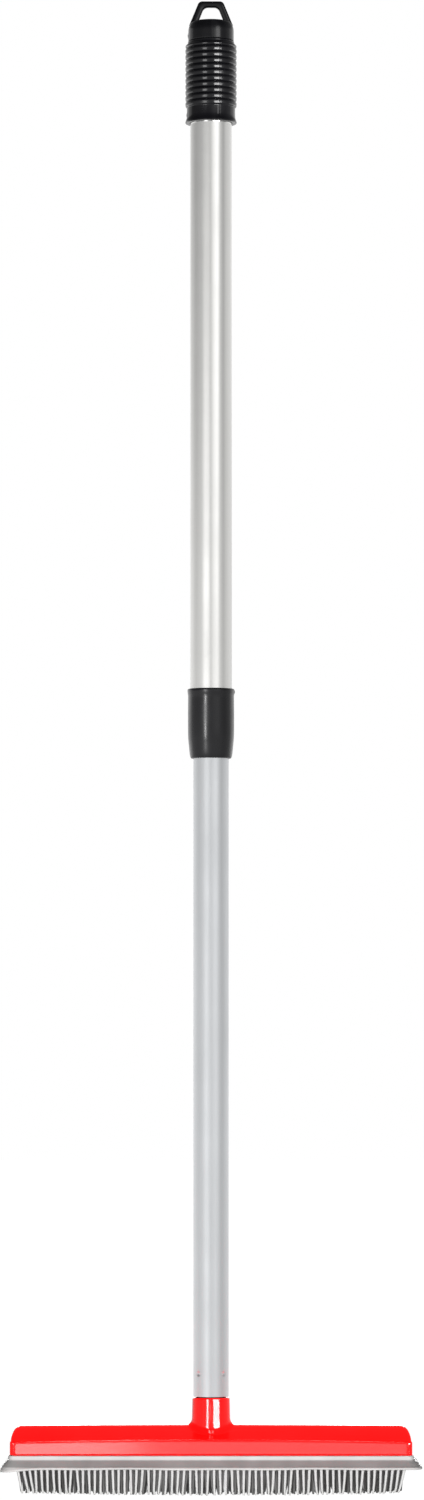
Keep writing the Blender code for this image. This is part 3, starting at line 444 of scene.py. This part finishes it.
# The ledge at the foot joins the outside to the inside, and one face closes each at the ridge
loop = np.arange(around)
ahead = (loop + 1) % around
faces += np.stack([loop, ahead, levels * around + ahead, levels * around + loop], axis=1).tolist()
faces += [list((levels - 1) * around + loop), list((2 * levels - 1) * around + loop[::-1])]
head = mesh_of("red_head", np.concatenate([outer, inner]), faces, 60.0)

socket_top = shell_high.z - SOCKET_DROP
foot_radius = SOCKET_MOUTH + SOCKET_DRAFT * (socket_top - ridge_mid)
column_foot = shell_low.z + COLUMN_LIFT
sweep = np.radians(np.linspace(90.0, 2.0, 12))
lip = np.radians(np.linspace(0.0, 90.0, 5))
# (radius, height, 1 where the height is counted from the roof) from the foot round to the bore's floor
column = [(NEAR_AXIS, column_foot, 0.0), (foot_radius - 0.0002, column_foot, 0.0),
          (foot_radius - 0.0002, -SHELL_WALL * 0.7, 1.0), (foot_radius + SOCKET_FILLET, -FILLET_SINK, 1.0)]
column += [(foot_radius + SOCKET_FILLET * (1 - math.cos(a)), SOCKET_FILLET * (1 - math.sin(a)) - 0.00002, 1.0)
           for a in sweep]
column += [(SOCKET_MOUTH + SOCKET_DRAFT * (socket_top - z), z, 0.0)
           for z in np.linspace(ridge_mid + 0.0052, socket_top - 0.0007, 6)]
column += [(SOCKET_MOUTH - MOUTH_ROUNDING * (1 - math.cos(a)),
            socket_top - MOUTH_ROUNDING * (1 - math.sin(a)), 0.0) for a in lip]
column += [(SOCKET_BORE + BORE_CHAMFER, socket_top, 0.0), (SOCKET_BORE, socket_top - BORE_CHAMFER, 0.0),
           (SOCKET_BORE, column_foot + BORE_FLOOR, 0.0), (NEAR_AXIS, column_foot + BORE_FLOOR, 0.0)]
radius, height, on_roof = (v[:, None] for v in np.array(column).T)
angle = np.arange(SOCKET_SIDES) * math.tau / SOCKET_SIDES
x = radius * np.cos(angle)
y = radius * np.sin(angle)
z = height + on_roof * roof_at(x, roof_share(np.abs(y)))
faces = grid_faces(len(column), SOCKET_SIDES, wrap_columns=True).tolist()
faces += [list(range(SOCKET_SIDES))[::-1],
          list(range((len(column) - 1) * SOCKET_SIDES, len(column) * SOCKET_SIDES))]
socket = mesh_of("socket", np.stack([x, y, z], axis=-1), faces, 60.0)


def join_to(piece, added, sharp_over):
    """Makes the piece's mesh the exact union of itself and an added object, which is then removed."""
    union = piece.modifiers.new(added.name, "BOOLEAN")
    union.operation = "UNION"
    union.solver = "EXACT"
    union.object = added
    bpy.context.view_layer.update()
    whole = bpy.data.meshes.new_from_object(piece.evaluated_get(bpy.context.evaluated_depsgraph_get()))
    piece.modifiers.clear()
    piece.data = whole
    bpy.data.objects.remove(added)
    whole.shade_smooth()
    whole.set_sharp_from_angle(angle=math.radians(sharp_over))
    whole.materials.clear()


join_to(head, socket, 42.0)
red, tree, surface, place = shader("gloss_red", (0.63, 0.0016, 0.0016), 0.08, IOR=1.32)
haze = noise(tree, place, 34.0, 3.0)
scuff = noise(tree, place, 900.0, 4.0, stretch=(0.06, 1.0, 1.0))
colour = ramp(tree, haze, [(0.3, (0.60, 0.0012, 0.0012)), (0.7, (0.66, 0.002, 0.002))])
scuffed = ramp(tree, scuff, [(0.62, 0.0), (0.8, 0.5)])
gloss = mix(tree, scuffed, ramp(tree, haze, [(0.3, 0.06), (0.7, 0.10)]), (0.3, 0.3, 0.3))
dress(tree, surface, colour, gloss, [(haze, 0.16, 0.00035), (noise(tree, place, 2600.0), 0.06, 0.00002)])
head.data.materials.append(red)
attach(head, "lower_assembly")
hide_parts("head_shell")

# ---------------------------------------------------------------- threaded tip
# Black nylon plug pushed into the lower tube and staked there, with the thread that the head screws onto.
# Only its flange shows, as a dark line over the socket.
nylon_black, tree, surface, place = shader("tip_plastic", (0.012, 0.012, 0.013), 0.4)
gloss = ramp(tree, noise(tree, place, 400.0), [(0.3, 0.33), (0.7, 0.5)])
dress(tree, surface, None, gloss, [(noise(tree, place, 3000.0), 0.25, 0.00003)])
finish_node("thread_tip", nylon_black)

# ---------------------------------------------------------------- lower tube
# Seam-welded steel tube with rolled ends, in satin silver paint. Four dimples punched near its foot hold the
# threaded tip.
TUBE_SIDES = 128
TUBE_LEVELS = 60
TUBE_WALL = 0.0006
END_CURL = 0.00025
WELD_RIDGE = 0.00004
WELD_WIDTH = 0.05  # in radians
LOWER_TUBE_RADIUS = 0.01275
LOWER_TUBE_DROP = 0.0018  # how far the tube reaches down over the tip's flange
DIMPLE_COUNT = 4
DIMPLE_HEIGHT, DIMPLE_RADIUS, DIMPLE_DEPTH = 0.0149, 0.0024, 0.0006


def tube_skin(name, radius, bottom, top, seam, dents=()):
    """A tube's outside, rolled ends and inside as rings on one closed profile. Dents push the wall in as
    rounded bowls, each (angle, height, radius, depth), and the weld is a faint raised line, bell-shaped in
    section, along the seam's angle."""
    # All the dents are at one height, so finer rings round the first one serve them all
    near = [np.linspace(h - 1.6 * r, h + 1.6 * r, 15) for _, h, r, _ in dents[:1]]
    run = np.unique(np.concatenate([np.linspace(bottom + 0.0003, top - 0.0003, TUBE_LEVELS)] + near))
    ends = np.radians([0.0, 30.0, 60.0, 90.0])
    curl_in, curl_up = END_CURL * (1 - np.cos(ends)), END_CURL * (1 - np.sin(ends))
    rise = np.concatenate([bottom + curl_up[::-1], run, top - curl_up, [top], run[::-1], [bottom]])
    size = np.concatenate([radius - curl_in[::-1], np.full(len(run), radius), radius - curl_in,
                           np.full(len(run) + 2, radius - TUBE_WALL)])
    angle = np.arange(TUBE_SIDES) * math.tau / TUBE_SIDES
    away = (angle - seam + math.pi) % math.tau - math.pi
    outside = size[:, None] > radius - TUBE_WALL / 2
    r = size[:, None] + np.where(outside, WELD_RIDGE * np.exp(-(away / WELD_WIDTH) ** 2), 0.0)
    for dent_angle, height, dent_radius, depth in dents:
        off = (angle - dent_angle + math.pi) % math.tau - math.pi
        gap = np.hypot(off[None, :] * radius, rise[:, None] - height) / dent_radius
        r -= depth * np.clip(1.0 - gap ** 2, 0.0, 1.0) ** 2
    z = np.repeat(rise[:, None], TUBE_SIDES, axis=1)
    points = np.stack([r * np.cos(angle), r * np.sin(angle), z], axis=-1)
    return mesh_of(name, points, grid_faces(len(rise), TUBE_SIDES, wrap_rows=True, wrap_columns=True), 50.0)


def make_silver(name, colour, roughness, metallic, streak):
    """Silver paint: metal flakes in a clear binder, with faint draw streaks along the tube, cloudy gloss and
    sparse fine scratches."""
    made, tree, surface, place = shader(name, colour, roughness, metallic)
    streaks = noise(tree, place, 700.0, 3.0, stretch=(1.0, 1.0, 0.02))
    cloud = noise(tree, place, 26.0, 3.0)
    flake = noise(tree, place, 5200.0, 1.0)
    scratch = noise(tree, place, 420.0, 5.0, stretch=(1.0, 1.0, 0.12), roughness=0.7)
    dim = tuple(c * (1.0 - streak) for c in colour)
    bright = tuple(min(1.0, c * 1.15) for c in colour)
    tone = mix(tree, ramp(tree, streaks, [(0.35, 0.0), (0.65, 1.0)]), dim, colour)
    tone = mix(tree, ramp(tree, flake, [(0.55, 0.0), (0.75, 0.25)]), tone, bright)
    gloss = ramp(tree, cloud, [(0.3, roughness - 0.03), (0.7, roughness + 0.04)])
    gloss = mix(tree, ramp(tree, scratch, [(0.68, 0.0), (0.78, 0.6)]), gloss, (0.55, 0.55, 0.55))
    heights = [(flake, 0.08, 0.00002), (cloud, 0.12, 0.0003), (streaks, 0.05, 0.00003)]
    dress(tree, surface, tone, gloss, heights)
    return made


tube_low, tube_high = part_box("lower_tube")
dents = [(math.radians(45.0 + 360.0 / DIMPLE_COUNT * i), tube_low.z + DIMPLE_HEIGHT, DIMPLE_RADIUS,
          DIMPLE_DEPTH) for i in range(DIMPLE_COUNT)]
lower = tube_skin("lower_tube_skin", LOWER_TUBE_RADIUS, tube_low.z - LOWER_TUBE_DROP, tube_high.z,
                  math.radians(100.0), dents)
lower.data.materials.append(make_silver("lower_silver", (0.865, 0.885, 0.905), 0.34, 0.85, 0.035))
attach(lower, "lower_assembly")
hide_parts("lower_tube")

# ---------------------------------------------------------------- twist lock
# Hidden in the tubes: a black plug and stud, and the natural-nylon split sleeve and cone nut that grip the
# bore. All of them are injection mouldings.
lock_black, tree, surface, place = shader("lock_plastic", (0.014, 0.014, 0.015), 0.4)
gloss = ramp(tree, noise(tree, place, 350.0), [(0.3, 0.32), (0.7, 0.48)])
dress(tree, surface, None, gloss, [(noise(tree, place, 2800.0), 0.25, 0.00003)])
finish_node("lock_plug", lock_black)
natural, tree, surface, place = shader("natural_nylon", (0.72, 0.69, 0.60), 0.38, Subsurface_Weight=0.1)
colour = ramp(tree, noise(tree, place, 220.0), [(0.3, (0.66, 0.63, 0.54)), (0.7, (0.76, 0.73, 0.65))])
dress(tree, surface, colour, None, [(noise(tree, place, 1800.0, stretch=(1.0, 1.0, 0.15)), 0.2, 0.00004)])
finish_node("lock_sleeve", natural)
finish_node("lock_wedge", natural)

# ---------------------------------------------------------------- upper tube
# The wider steel tube, seam-welded like the lower one, with a glossier silver paint. Its ends are hidden in
# the collar and under the cap.
UPPER_TUBE_RADIUS = 0.015
tube_low, tube_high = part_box("upper_tube")
upper = tube_skin("upper_tube_skin", UPPER_TUBE_RADIUS, tube_low.z, tube_high.z, math.radians(80.0))
upper.data.materials.append(make_silver("upper_silver", (0.93, 0.925, 0.905), 0.2, 0.9, 0.02))
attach(upper, "upper_handle")
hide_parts("upper_tube")

# ---------------------------------------------------------------- collar
# Black polypropylene bush with a rolled lip, a slight belly and a tapered foot. A gate nib stands out by the
# lip, and the parting line of the tool runs down both sides.
TURNED_SIDES = 128
FLASH_WIDTH = 0.03  # in radians
COLLAR_DROP = 0.0010  # from the CAD's ends to these
COLLAR_BORE = 0.0130
COLLAR_SOCKET = 0.0153  # the wider bore that the upper tube stands in
COLLAR_FLOOR = 0.0150  # from the foot up to that bore's floor


def turned_skin(name, profile, seams=(), nibs=()):
    """A closed profile of (radius, height) turned round Z. Seams are (angle, height of ridge) flash lines,
    bell-shaped in section, and nibs are (angle, height, size, proud) rounded stubs left by the gate. Both
    only lift the outer skin."""
    profile = np.array(profile)
    angle = np.arange(TURNED_SIDES) * math.tau / TURNED_SIDES
    r = np.repeat(profile[:, :1], TURNED_SIDES, axis=1)
    z = np.repeat(profile[:, 1:], TURNED_SIDES, axis=1)
    skin = profile[:, 0] > (profile[:, 0].max() + profile[:, 0].min()) / 2
    for seam, proud in seams:
        away = (angle - seam + math.pi) % math.tau - math.pi
        r += skin[:, None] * proud * np.exp(-(away / FLASH_WIDTH) ** 2)
    for nib, height, size, proud in nibs:
        away = (angle - nib + math.pi) % math.tau - math.pi
        gap = np.hypot(away[None, :] * r, z - height) / size
        r += skin[:, None] * proud * np.clip(1.0 - gap ** 2, 0.0, 1.0)
    points = np.stack([r * np.cos(angle), r * np.sin(angle), z], axis=-1)
    faces = grid_faces(len(profile), TURNED_SIDES, wrap_rows=True, wrap_columns=True)
    return mesh_of(name, points, faces, 35.0)


def smooth_through(knots, steps):
    """A curve through points (radius, height) by Catmull-Rom segments, with steps points in each."""
    p = np.array(knots)
    p = np.concatenate([2 * p[:1] - p[1:2], p, 2 * p[-1:] - p[-2:-1]])
    t = np.linspace(0.0, 1.0, steps, endpoint=False)[:, None]
    parts = [0.5 * (2 * b + (c - a) * t + (2 * a - 5 * b + 4 * c - d) * t ** 2
                    + (3 * b - a - 3 * c + d) * t ** 3)
             for a, b, c, d in zip(p[:-3], p[1:-2], p[2:-1], p[3:])]
    return [tuple(v) for v in np.concatenate(parts + [p[-2:-1]])]


def make_black(name, tone, roughness, grain, texture, specular):
    """Satin black plastic: faint grey bloom, patchy gloss, moulding grain and a few pale scuffs."""
    made, tree, surface, place = shader(name, (tone, tone, tone * 1.08), roughness,
                                        Specular_IOR_Level=specular)
    bloom_and_painted_shade = noise(tree, place, 70.0, 4.0)
    skin = noise(tree, place, grain, 2.0)
    scuff = noise(tree, place, 260.0, 6.0, stretch=(1.0, 1.0, 0.35), roughness=0.75)
    deep = (tone * 0.8, tone * 0.8, tone * 1.1)
    bloomed = (tone * 1.5, tone * 1.5, tone * 1.9)
    pale = tone * 6.0
    shade = ramp(tree, bloom_and_painted_shade, [(0.3, deep), (0.75, bloomed)])
    mark = ramp(tree, scuff, [(0.66, 0.0), (0.78, 0.35)])
    colour = mix(tree, mark, shade, (pale, pale, pale * 1.06))
    gloss = ramp(tree, bloom_and_painted_shade, [(0.3, roughness - 0.06), (0.7, roughness + 0.08)])
    dress(tree, surface, colour, gloss, [(skin, 0.3 * texture, 0.00005), (bloom_and_painted_shade, 0.15 * texture, 0.0003)])
    return made


low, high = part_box("collar")
foot, crown = low.z - COLLAR_DROP, high.z - COLLAR_DROP
belly = high.x - 0.0003
knots = [(0.0143, foot), (0.0150, foot + 0.0014), (0.0155, foot + 0.0042), (belly - 0.0006, foot + 0.0100),
         (belly - 0.0001, foot + 0.0165), (belly, foot + 0.028), (belly - 0.0001, crown - 0.0052)]
profile = [(0.0131, foot + 0.0004), (0.0134, foot), (0.0139, foot), (0.0142, foot + 0.0001)]
profile += smooth_through(knots, 8)[1:]
profile += [(belly, crown - 0.0044), (belly + 0.00015, crown - 0.0034), (high.x, crown - 0.0022),
            (high.x, crown - 0.0008), (high.x - 0.0002, crown - 0.0003), (high.x - 0.0006, crown),
            (0.0158, crown), (0.0154, crown - 0.0003), (COLLAR_SOCKET, foot + COLLAR_FLOOR),
            (COLLAR_BORE, foot + COLLAR_FLOOR)]
collar = turned_skin("collar_bush", profile, seams=[(0.12, 0.00008), (0.12 + math.pi, 0.00008)],
                     nibs=[(math.radians(-8.0), crown - 0.0026, 0.0012, 0.0006)])
collar.data.materials.append(make_black("collar_plastic", 0.007, 0.25, 1500.0, 0.22, 0.45))
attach(collar, "upper_handle")
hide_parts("collar")

# ---------------------------------------------------------------- grip sleeve
# Soft black plastic sleeve with rounded ribs, a plain band and a flared bead at the foot. It is moulded in a
# tool of two halves, so a parting line runs down the front right and the back left.
GRIP_BORE = 0.0153
RIB_COUNT = 11
RIB_PITCH = 0.00426
RIB_STEPS = 20
RIB_DEPTH = 0.00105
RIB_TILT = 0.15  # curvature of a rib's crest, whose highest point stands a quarter pitch above its middle
FIRST_RIB = 0.0033  # from the sleeve's top down to the first rib
FIRST_RISE = 0.66  # share of the first rib over which it rises from the top flange

low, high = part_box("grip_sleeve")
foot = low.z
crest = high.x
root = crest - 0.0011
flange = crest - 0.0018
# Each rib is a shallow parabola less a fifth power of the way from its middle, which makes narrow grooves,
# and the first one rises from the flange along an S-curve
ribs_down = np.linspace(0.0, 1.0, RIB_STEPS * RIB_COUNT + 1) * RIB_COUNT
rib_z = high.z - FIRST_RIB + RIB_PITCH / 2 - ribs_down * RIB_PITCH
phase = ribs_down % 1.0 - 0.5
rib_r = crest - RIB_TILT * RIB_PITCH * (phase + 0.25) ** 2 - RIB_DEPTH * np.abs(2.0 * phase) ** 5
rise = np.clip(ribs_down / FIRST_RISE, 0.0, 1.0)
rib_r = np.minimum(rib_r, flange + (crest - flange) * rise * rise * (3.0 - 2.0 * rise))
last = float(rib_z[-1])
profile = [(0.0156, high.z), (flange - 0.0004, high.z), (flange - 0.0001, high.z - 0.0002),
           (flange, high.z - 0.0005), (flange, high.z - 0.0010)]
profile += list(zip(rib_r, rib_z))
profile += [(root, last - 0.0002), (root, last - 0.0006), (root, foot + 0.0080),
            (root + 0.00005, foot + 0.0055), (root + 0.0002, foot + 0.0036), (crest - 0.0004, foot + 0.0020),
            (crest - 0.0001, foot + 0.0013), (crest, foot + 0.0009), (crest, foot + 0.0004),
            (crest, foot + 0.00035), (crest - 0.0001, foot + 0.0002), (crest - 0.0003, foot), (0.0156, foot),
            (GRIP_BORE, foot + 0.0003), (GRIP_BORE, high.z - 0.0003)]
grip = turned_skin("ribbed_grip", profile,
                   seams=[(math.radians(-74.0), 0.00022), (math.radians(106.0), 0.00022)],
                   nibs=[(math.radians(188.0), foot + 0.0062, 0.0014, 0.0007),
                         (math.radians(-74.0), foot + 0.0012, 0.0012, 0.0005)])
grip.data.materials.append(make_black("grip_plastic", 0.0022, 0.15, 1900.0, 0.03, 0.3))
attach(grip, "upper_handle")
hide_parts("grip_sleeve")

# ---------------------------------------------------------------- end cap and hanging loop
# Black moulded cap pushed into the tube. Its loop is a flat trapezoid with rounded edges, moulded in one with
# the dome, and it hangs the broom from a hook.
CAP_OVER_GRIP = 0.0003
DOME_DROP = 0.0148  # from the loop's top down to the dome's
PLUG_RADIUS = 0.0141
PLUG_WALL = 0.0022
LOOP_THICKNESS = 0.0052
LOOP_FOOT_HALF, LOOP_TOP_HALF, LOOP_CORNER = 0.0160, 0.0086, 0.0034
HOLE_FOOT_HALF, HOLE_TOP_HALF, HOLE_CORNER = 0.0092, 0.0050, 0.0042
HOLE_DROP = 0.0046  # from the loop's top down to the hole's
CORNER_STEPS = 12


def loop_plate(name, outer, hole, thickness):
    """A flat ring between two outlines of the same number of points, its section swept from hole to outside
    and back as a rounded bar. The way across is half a cosine and the depth half the thickness times a sine,
    each raised to a power under one, which squares the section."""
    way = np.radians(np.linspace(0.0, 360.0, 28, endpoint=False))
    across = 0.5 - 0.5 * np.sign(np.cos(way)) * np.abs(np.cos(way)) ** 0.9
    depth = thickness / 2 * np.sign(np.sin(way)) * np.abs(np.sin(way)) ** 0.6
    bar = hole[None] + (outer - hole)[None] * across[:, None, None]
    y = np.repeat(depth[:, None], len(hole), axis=1)
    points = np.stack([bar[..., 0], y, bar[..., 1]], axis=-1)
    return mesh_of(name, points, grid_faces(len(way), len(hole), wrap_rows=True, wrap_columns=True), 60.0)


def rounded_polygon(corners, radii):
    """A closed outline whose corners are arcs. An arc touches each side at radius / tan(half the corner's
    angle) from the corner."""
    corners = np.array(corners, float)
    out = []
    for i, radius in enumerate(radii):
        before, here, after = corners[i - 1], corners[i], corners[(i + 1) % len(corners)]
        a = (before - here) / np.linalg.norm(before - here)
        b = (after - here) / np.linalg.norm(after - here)
        half = math.acos(float(np.clip(a @ b, -1, 1))) / 2
        centre = here + (a + b) / np.linalg.norm(a + b) * radius / math.sin(half)
        start, stop = here + a * radius / math.tan(half) - centre, here + b * radius / math.tan(half) - centre
        t0, t1 = math.atan2(start[1], start[0]), math.atan2(stop[1], stop[0])
        turn = (t1 - t0 + math.pi) % math.tau - math.pi
        t = t0 + turn * np.linspace(0.0, 1.0, CORNER_STEPS)
        out.append(centre + radius * np.stack([np.cos(t), np.sin(t)], axis=1))
    return np.concatenate(out)


cap_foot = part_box("grip_sleeve")[1].z + CAP_OVER_GRIP
low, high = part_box("end_cap")
cap_top = high.z - DOME_DROP
cap_r = high.x
knots = [(cap_r, cap_top - 0.0063), (cap_r - 0.0003, cap_top - 0.0046), (cap_r - 0.0010, cap_top - 0.0024),
         (cap_r - 0.0020, cap_top - 0.0009), (cap_r - 0.0036, cap_top - 0.0001), (cap_r - 0.0060, cap_top)]
profile = [(cap_r - 0.0001, cap_foot), (cap_r, cap_foot + 0.0003), (cap_r, cap_foot + 0.0006),
           (cap_r, cap_foot + 0.0012), (cap_r, cap_foot + 0.0040), (cap_r, cap_top - 0.0080)]
profile += smooth_through(knots, 6)
profile += [(0.0040, cap_top), (0.0002, cap_top), (0.0002, cap_foot + 0.0020),
            (PLUG_RADIUS - PLUG_WALL, cap_foot + 0.0020), (PLUG_RADIUS - PLUG_WALL, low.z),
            (PLUG_RADIUS - 0.0003, low.z), (PLUG_RADIUS, low.z + 0.0004), (PLUG_RADIUS, cap_foot)]
cap = turned_skin("hanging_cap", profile,
                  seams=[(math.radians(90.0), 0.0001), (math.radians(-90.0), 0.0001)],
                  nibs=[(math.radians(180.0), cap_top - 0.0098, 0.0010, 0.0005)])
foot_z, hole_foot, hole_top = cap_top - 0.0030, cap_top - 0.0004, high.z - HOLE_DROP
outer = rounded_polygon([(LOOP_FOOT_HALF, foot_z), (LOOP_TOP_HALF, high.z),
                         (-LOOP_TOP_HALF, high.z), (-LOOP_FOOT_HALF, foot_z)],
                        [0.0004, LOOP_CORNER, LOOP_CORNER, 0.0004])
hole = rounded_polygon([(HOLE_FOOT_HALF, hole_foot), (HOLE_TOP_HALF, hole_top),
                        (-HOLE_TOP_HALF, hole_top), (-HOLE_FOOT_HALF, hole_foot)],
                       [0.0008, HOLE_CORNER, HOLE_CORNER, 0.0008])
join_to(cap, loop_plate("loop", outer, hole, LOOP_THICKNESS), 35.0)
cap.data.materials.append(make_black("cap_plastic", 0.007, 0.17, 1900.0, 0.05, 0.3))
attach(cap, "upper_handle")
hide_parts("end_cap")

# ---------------------------------------------------------------- studio
# White floor under a white surround that is greyer to the sides and overhead, for the tubes to reflect. Each
# softbox lights chosen pieces alone: from beside the camera for their fronts, from over the head for its
# crease, and from the sides and the rear for their outlines and backs.
FLOOR_HALF = 12.0
BRIGHTEST = 2.0  # the surround's ramps hold brightness as a share of this

floor_mesh = bpy.data.meshes.new("floor")
floor_mesh.from_pydata([(-FLOOR_HALF, -FLOOR_HALF, 0.0), (FLOOR_HALF, -FLOOR_HALF, 0.0),
                        (FLOOR_HALF, FLOOR_HALF, 0.0), (-FLOOR_HALF, FLOOR_HALF, 0.0)], [], [(0, 1, 2, 3)])
floor = bpy.data.objects.new("floor", floor_mesh)
bpy.context.scene.collection.objects.link(floor)
floor.visible_glossy = False
white, tree, surface, place = shader("floor_white", (0.35, 0.35, 0.35), 0.9)
surface.inputs["Emission Color"].default_value = (1.0, 1.0, 1.0, 1.0)
surface.inputs["Emission Strength"].default_value = 0.97
floor_mesh.materials.append(white)
floor.visible_diffuse = False
floor.visible_shadow = False

world = bpy.data.worlds.new("studio")
bpy.context.scene.world = world
world.use_nodes = True
tree = world.node_tree
tree.nodes.clear()
way = tree.nodes.new("ShaderNodeTexCoord")
split = tree.nodes.new("ShaderNodeSeparateXYZ")
tree.links.new(way.outputs["Generated"], split.inputs[0])
# The way round the horizon is the angle whose tangent is X over -Y, from -180 to 180 degrees
turn = tree.nodes.new("ShaderNodeMath")
turn.operation = "ARCTAN2"
tree.links.new(split.outputs["X"], turn.inputs[0])
flip = tree.nodes.new("ShaderNodeMath")
flip.operation = "MULTIPLY"
flip.inputs[1].default_value = -1.0
tree.links.new(split.outputs["Y"], flip.inputs[0])
tree.links.new(flip.outputs[0], turn.inputs[1])
round_way = tree.nodes.new("ShaderNodeMapRange")
round_way.inputs["From Min"].default_value = -math.pi
round_way.inputs["From Max"].default_value = math.pi
tree.links.new(turn.outputs[0], round_way.inputs["Value"])
height = tree.nodes.new("ShaderNodeMapRange")
height.inputs["From Min"].default_value = -1.0
tree.links.new(split.outputs["Z"], height.inputs["Value"])
up = height.outputs["Result"]


def horizon(levels):
    """A ramp round the horizon: levels are (azimuth in degrees from the front, brightness)."""
    return ramp(tree, round_way.outputs["Result"], [((a + 180.0) / 360.0, v / BRIGHTEST) for a, v in levels])


# What gloss reflects at the lower tube's height, at the collar's, and at the grip's, where the left side
# falls dark. Each goes from behind by the left, the front and the right to behind again
low_ring = horizon([(-180, 1.0), (-118, 0.88), (-91, 0.80), (-70, 0.84), (-51, 0.98), (-30, 1.35),
                    (-16, 1.05), (0, 0.80), (22, 0.84), (51, 0.78), (72, 0.58), (91, 0.64), (118, 0.74),
                    (180, 1.0)])
mid_ring = horizon([(-180, 1.0), (-118, 0.80), (-91, 0.62), (-70, 0.72), (-51, 0.86), (-36, 1.75),
                    (-14, 1.75), (-3, 0.70), (15, 1.05), (34, 1.25), (51, 0.62), (72, 0.46), (91, 0.60),
                    (118, 0.72)])
high_ring = horizon([(-180, 1.0), (-118, 0.44), (-91, 0.31), (-70, 0.34), (-33, 0.36), (-16, 0.42),
                     (-4, 0.52), (10, 0.95), (20, 1.25), (38, 1.45), (52, 0.62), (72, 0.38), (91, 0.62),
                     (118, 0.70), (180, 1.0)])
to_mid = ramp(tree, up, [(0.513, 0.0), (0.530, 1.0)])
to_high = ramp(tree, up, [(0.544, 0.0), (0.568, 1.0)])
overhead = ramp(tree, up, [(0.0, 0.7), (0.46, 1.0), (0.60, 1.0), (0.68, 0.5), (0.8, 0.22), (1.0, 0.15)])
tone = mix(tree, to_high, mix(tree, to_mid, low_ring, mid_ring), high_ring)
tone = mix(tree, 1.0, mix(tree, 1.0, tone, overhead, "MULTIPLY"), (BRIGHTEST,) * 3, "MULTIPLY")
seen = tree.nodes.new("ShaderNodeLightPath")
sky = mix(tree, seen.outputs["Is Diffuse Ray"], tone, (0.10, 0.10, 0.10))
sky = mix(tree, seen.outputs["Is Camera Ray"], sky, (1.0, 1.0, 1.0))
light = tree.nodes.new("ShaderNodeBackground")
tree.links.new(sky, light.inputs["Color"])
end = tree.nodes.new("ShaderNodeOutputWorld")
tree.links.new(light.outputs[0], end.inputs["Surface"])


def softbox(name, lit, azimuth, distance, centre_z, width, tall, radiance, tilt=0.0):
    """A rectangular light on a circle round the handle, facing it or tilted down, that lights the given
    pieces alone. Azimuth 0 is on the camera's side. Its power is pi times its area times its radiance."""
    lamp = bpy.data.lights.new(name, "AREA")
    lamp.shape = "RECTANGLE"
    lamp.size = width
    lamp.size_y = tall
    lamp.energy = math.pi * width * tall * radiance
    made = bpy.data.objects.new(name, lamp)
    a = math.radians(azimuth)
    made.location = (math.sin(a) * distance, -math.cos(a) * distance, centre_z)
    made.rotation_euler = (math.pi / 2 - math.radians(tilt), 0.0, a)
    made.visible_camera = False
    bpy.context.scene.collection.objects.link(made)
    only = bpy.data.collections.new(name + "_lights")
    for piece in lit:
        only.objects.link(piece)
    made.light_linking.receiver_collection = only


front_rubber = [skirt_piece, rows[0]]
# (name, pieces, azimuth, distance, centre's height, width, height, radiance, tilt)
for box in [
    ("left_strip", [grip], -28.0, 2.2, 0.66, 0.70, 1.04, 7.0),
    ("right_strip", [grip], 31.0, 2.2, 0.66, 1.20, 1.04, 25.0),
    ("cap_strip", [cap], 31.0, 2.2, 0.95, 1.30, 1.16, 1.3),
    ("right_haze", [grip, cap], 36.0, 2.2, 1.65, 0.80, 1.0, 2.6),
    ("left_flank", [grip], -122.0, 2.2, 0.45, 2.4, 1.1, 2.0),
    ("right_flank", [grip], 122.0, 2.2, 0.45, 2.4, 1.1, 2.0),
    ("left_rim", [grip, cap], -130.0, 2.2, 1.35, 2.0, 0.8, 0.5),
    ("right_rim", [grip, cap], 130.0, 2.2, 1.35, 2.0, 0.8, 0.5),
    ("streak", [collar], -28.0, 2.2, 0.75, 0.12, 0.8, 42.0),
    ("collar_left", [collar], -135.0, 2.2, 0.75, 1.6, 1.2, 0.6),
    ("collar_right", [collar], 135.0, 2.2, 0.75, 1.6, 1.2, 0.6),
    ("left_gloss", [head], -21.0, 2.2, 0.36, 0.46, 0.8, 42.0),
    ("right_gloss", [head], 33.0, 2.2, 0.36, 1.50, 0.8, 50.0),
    ("low_card", [head], 0.0, 2.2, -0.15, 0.70, 0.30, 3.7),
    ("low_left_card", [head], -5.6, 2.2, -0.15, 0.26, 0.30, 9.0),
    ("crease_left", [head], -8.0, 1.0, 1.55, 0.17, 1.1, 15.0, 57.0),
    ("crease_right", [head], 9.3, 1.0, 1.55, 0.14, 1.1, 8.0, 57.0),
    ("left_front", front_rubber, -22.0, 2.2, 0.03, 0.8, 0.45, 38.0),
    ("right_front", front_rubber, 24.0, 2.2, 0.03, 0.8, 0.45, 38.0),
    ("second_row", [rows[1]], -3.0, 0.25, 0.03, 0.10, 0.10, 5.4),
    ("rear_red", [head], 180.0, 2.2, 0.9, 1.2, 1.2, 13.0),
    ("rear_rubber", [skirt_piece] + rows[5:], 180.0, 2.2, 0.3, 1.2, 0.6, 16.0),
]:
    softbox(*box)

# A long lens at knee height, shifted up so that uprights stay upright
CAMERA_HEIGHT = 0.32
FRAMED_MIDDLE = 0.5366
FRAMED_HEIGHT = 1.0818
camera = bpy.data.objects.new("camera", bpy.data.cameras.new("camera"))
bpy.context.scene.collection.objects.link(camera)
camera.location = (0.0007, -3.96, CAMERA_HEIGHT)
camera.rotation_euler = (math.pi / 2, 0.0, 0.0)
camera.data.sensor_fit = "VERTICAL"
camera.data.sensor_height = 36.0
camera.data.lens = 131.78
camera.data.shift_y = (FRAMED_MIDDLE - CAMERA_HEIGHT) / FRAMED_HEIGHT
bpy.context.scene.camera = camera
bpy.context.scene.view_settings.view_transform = "Standard"
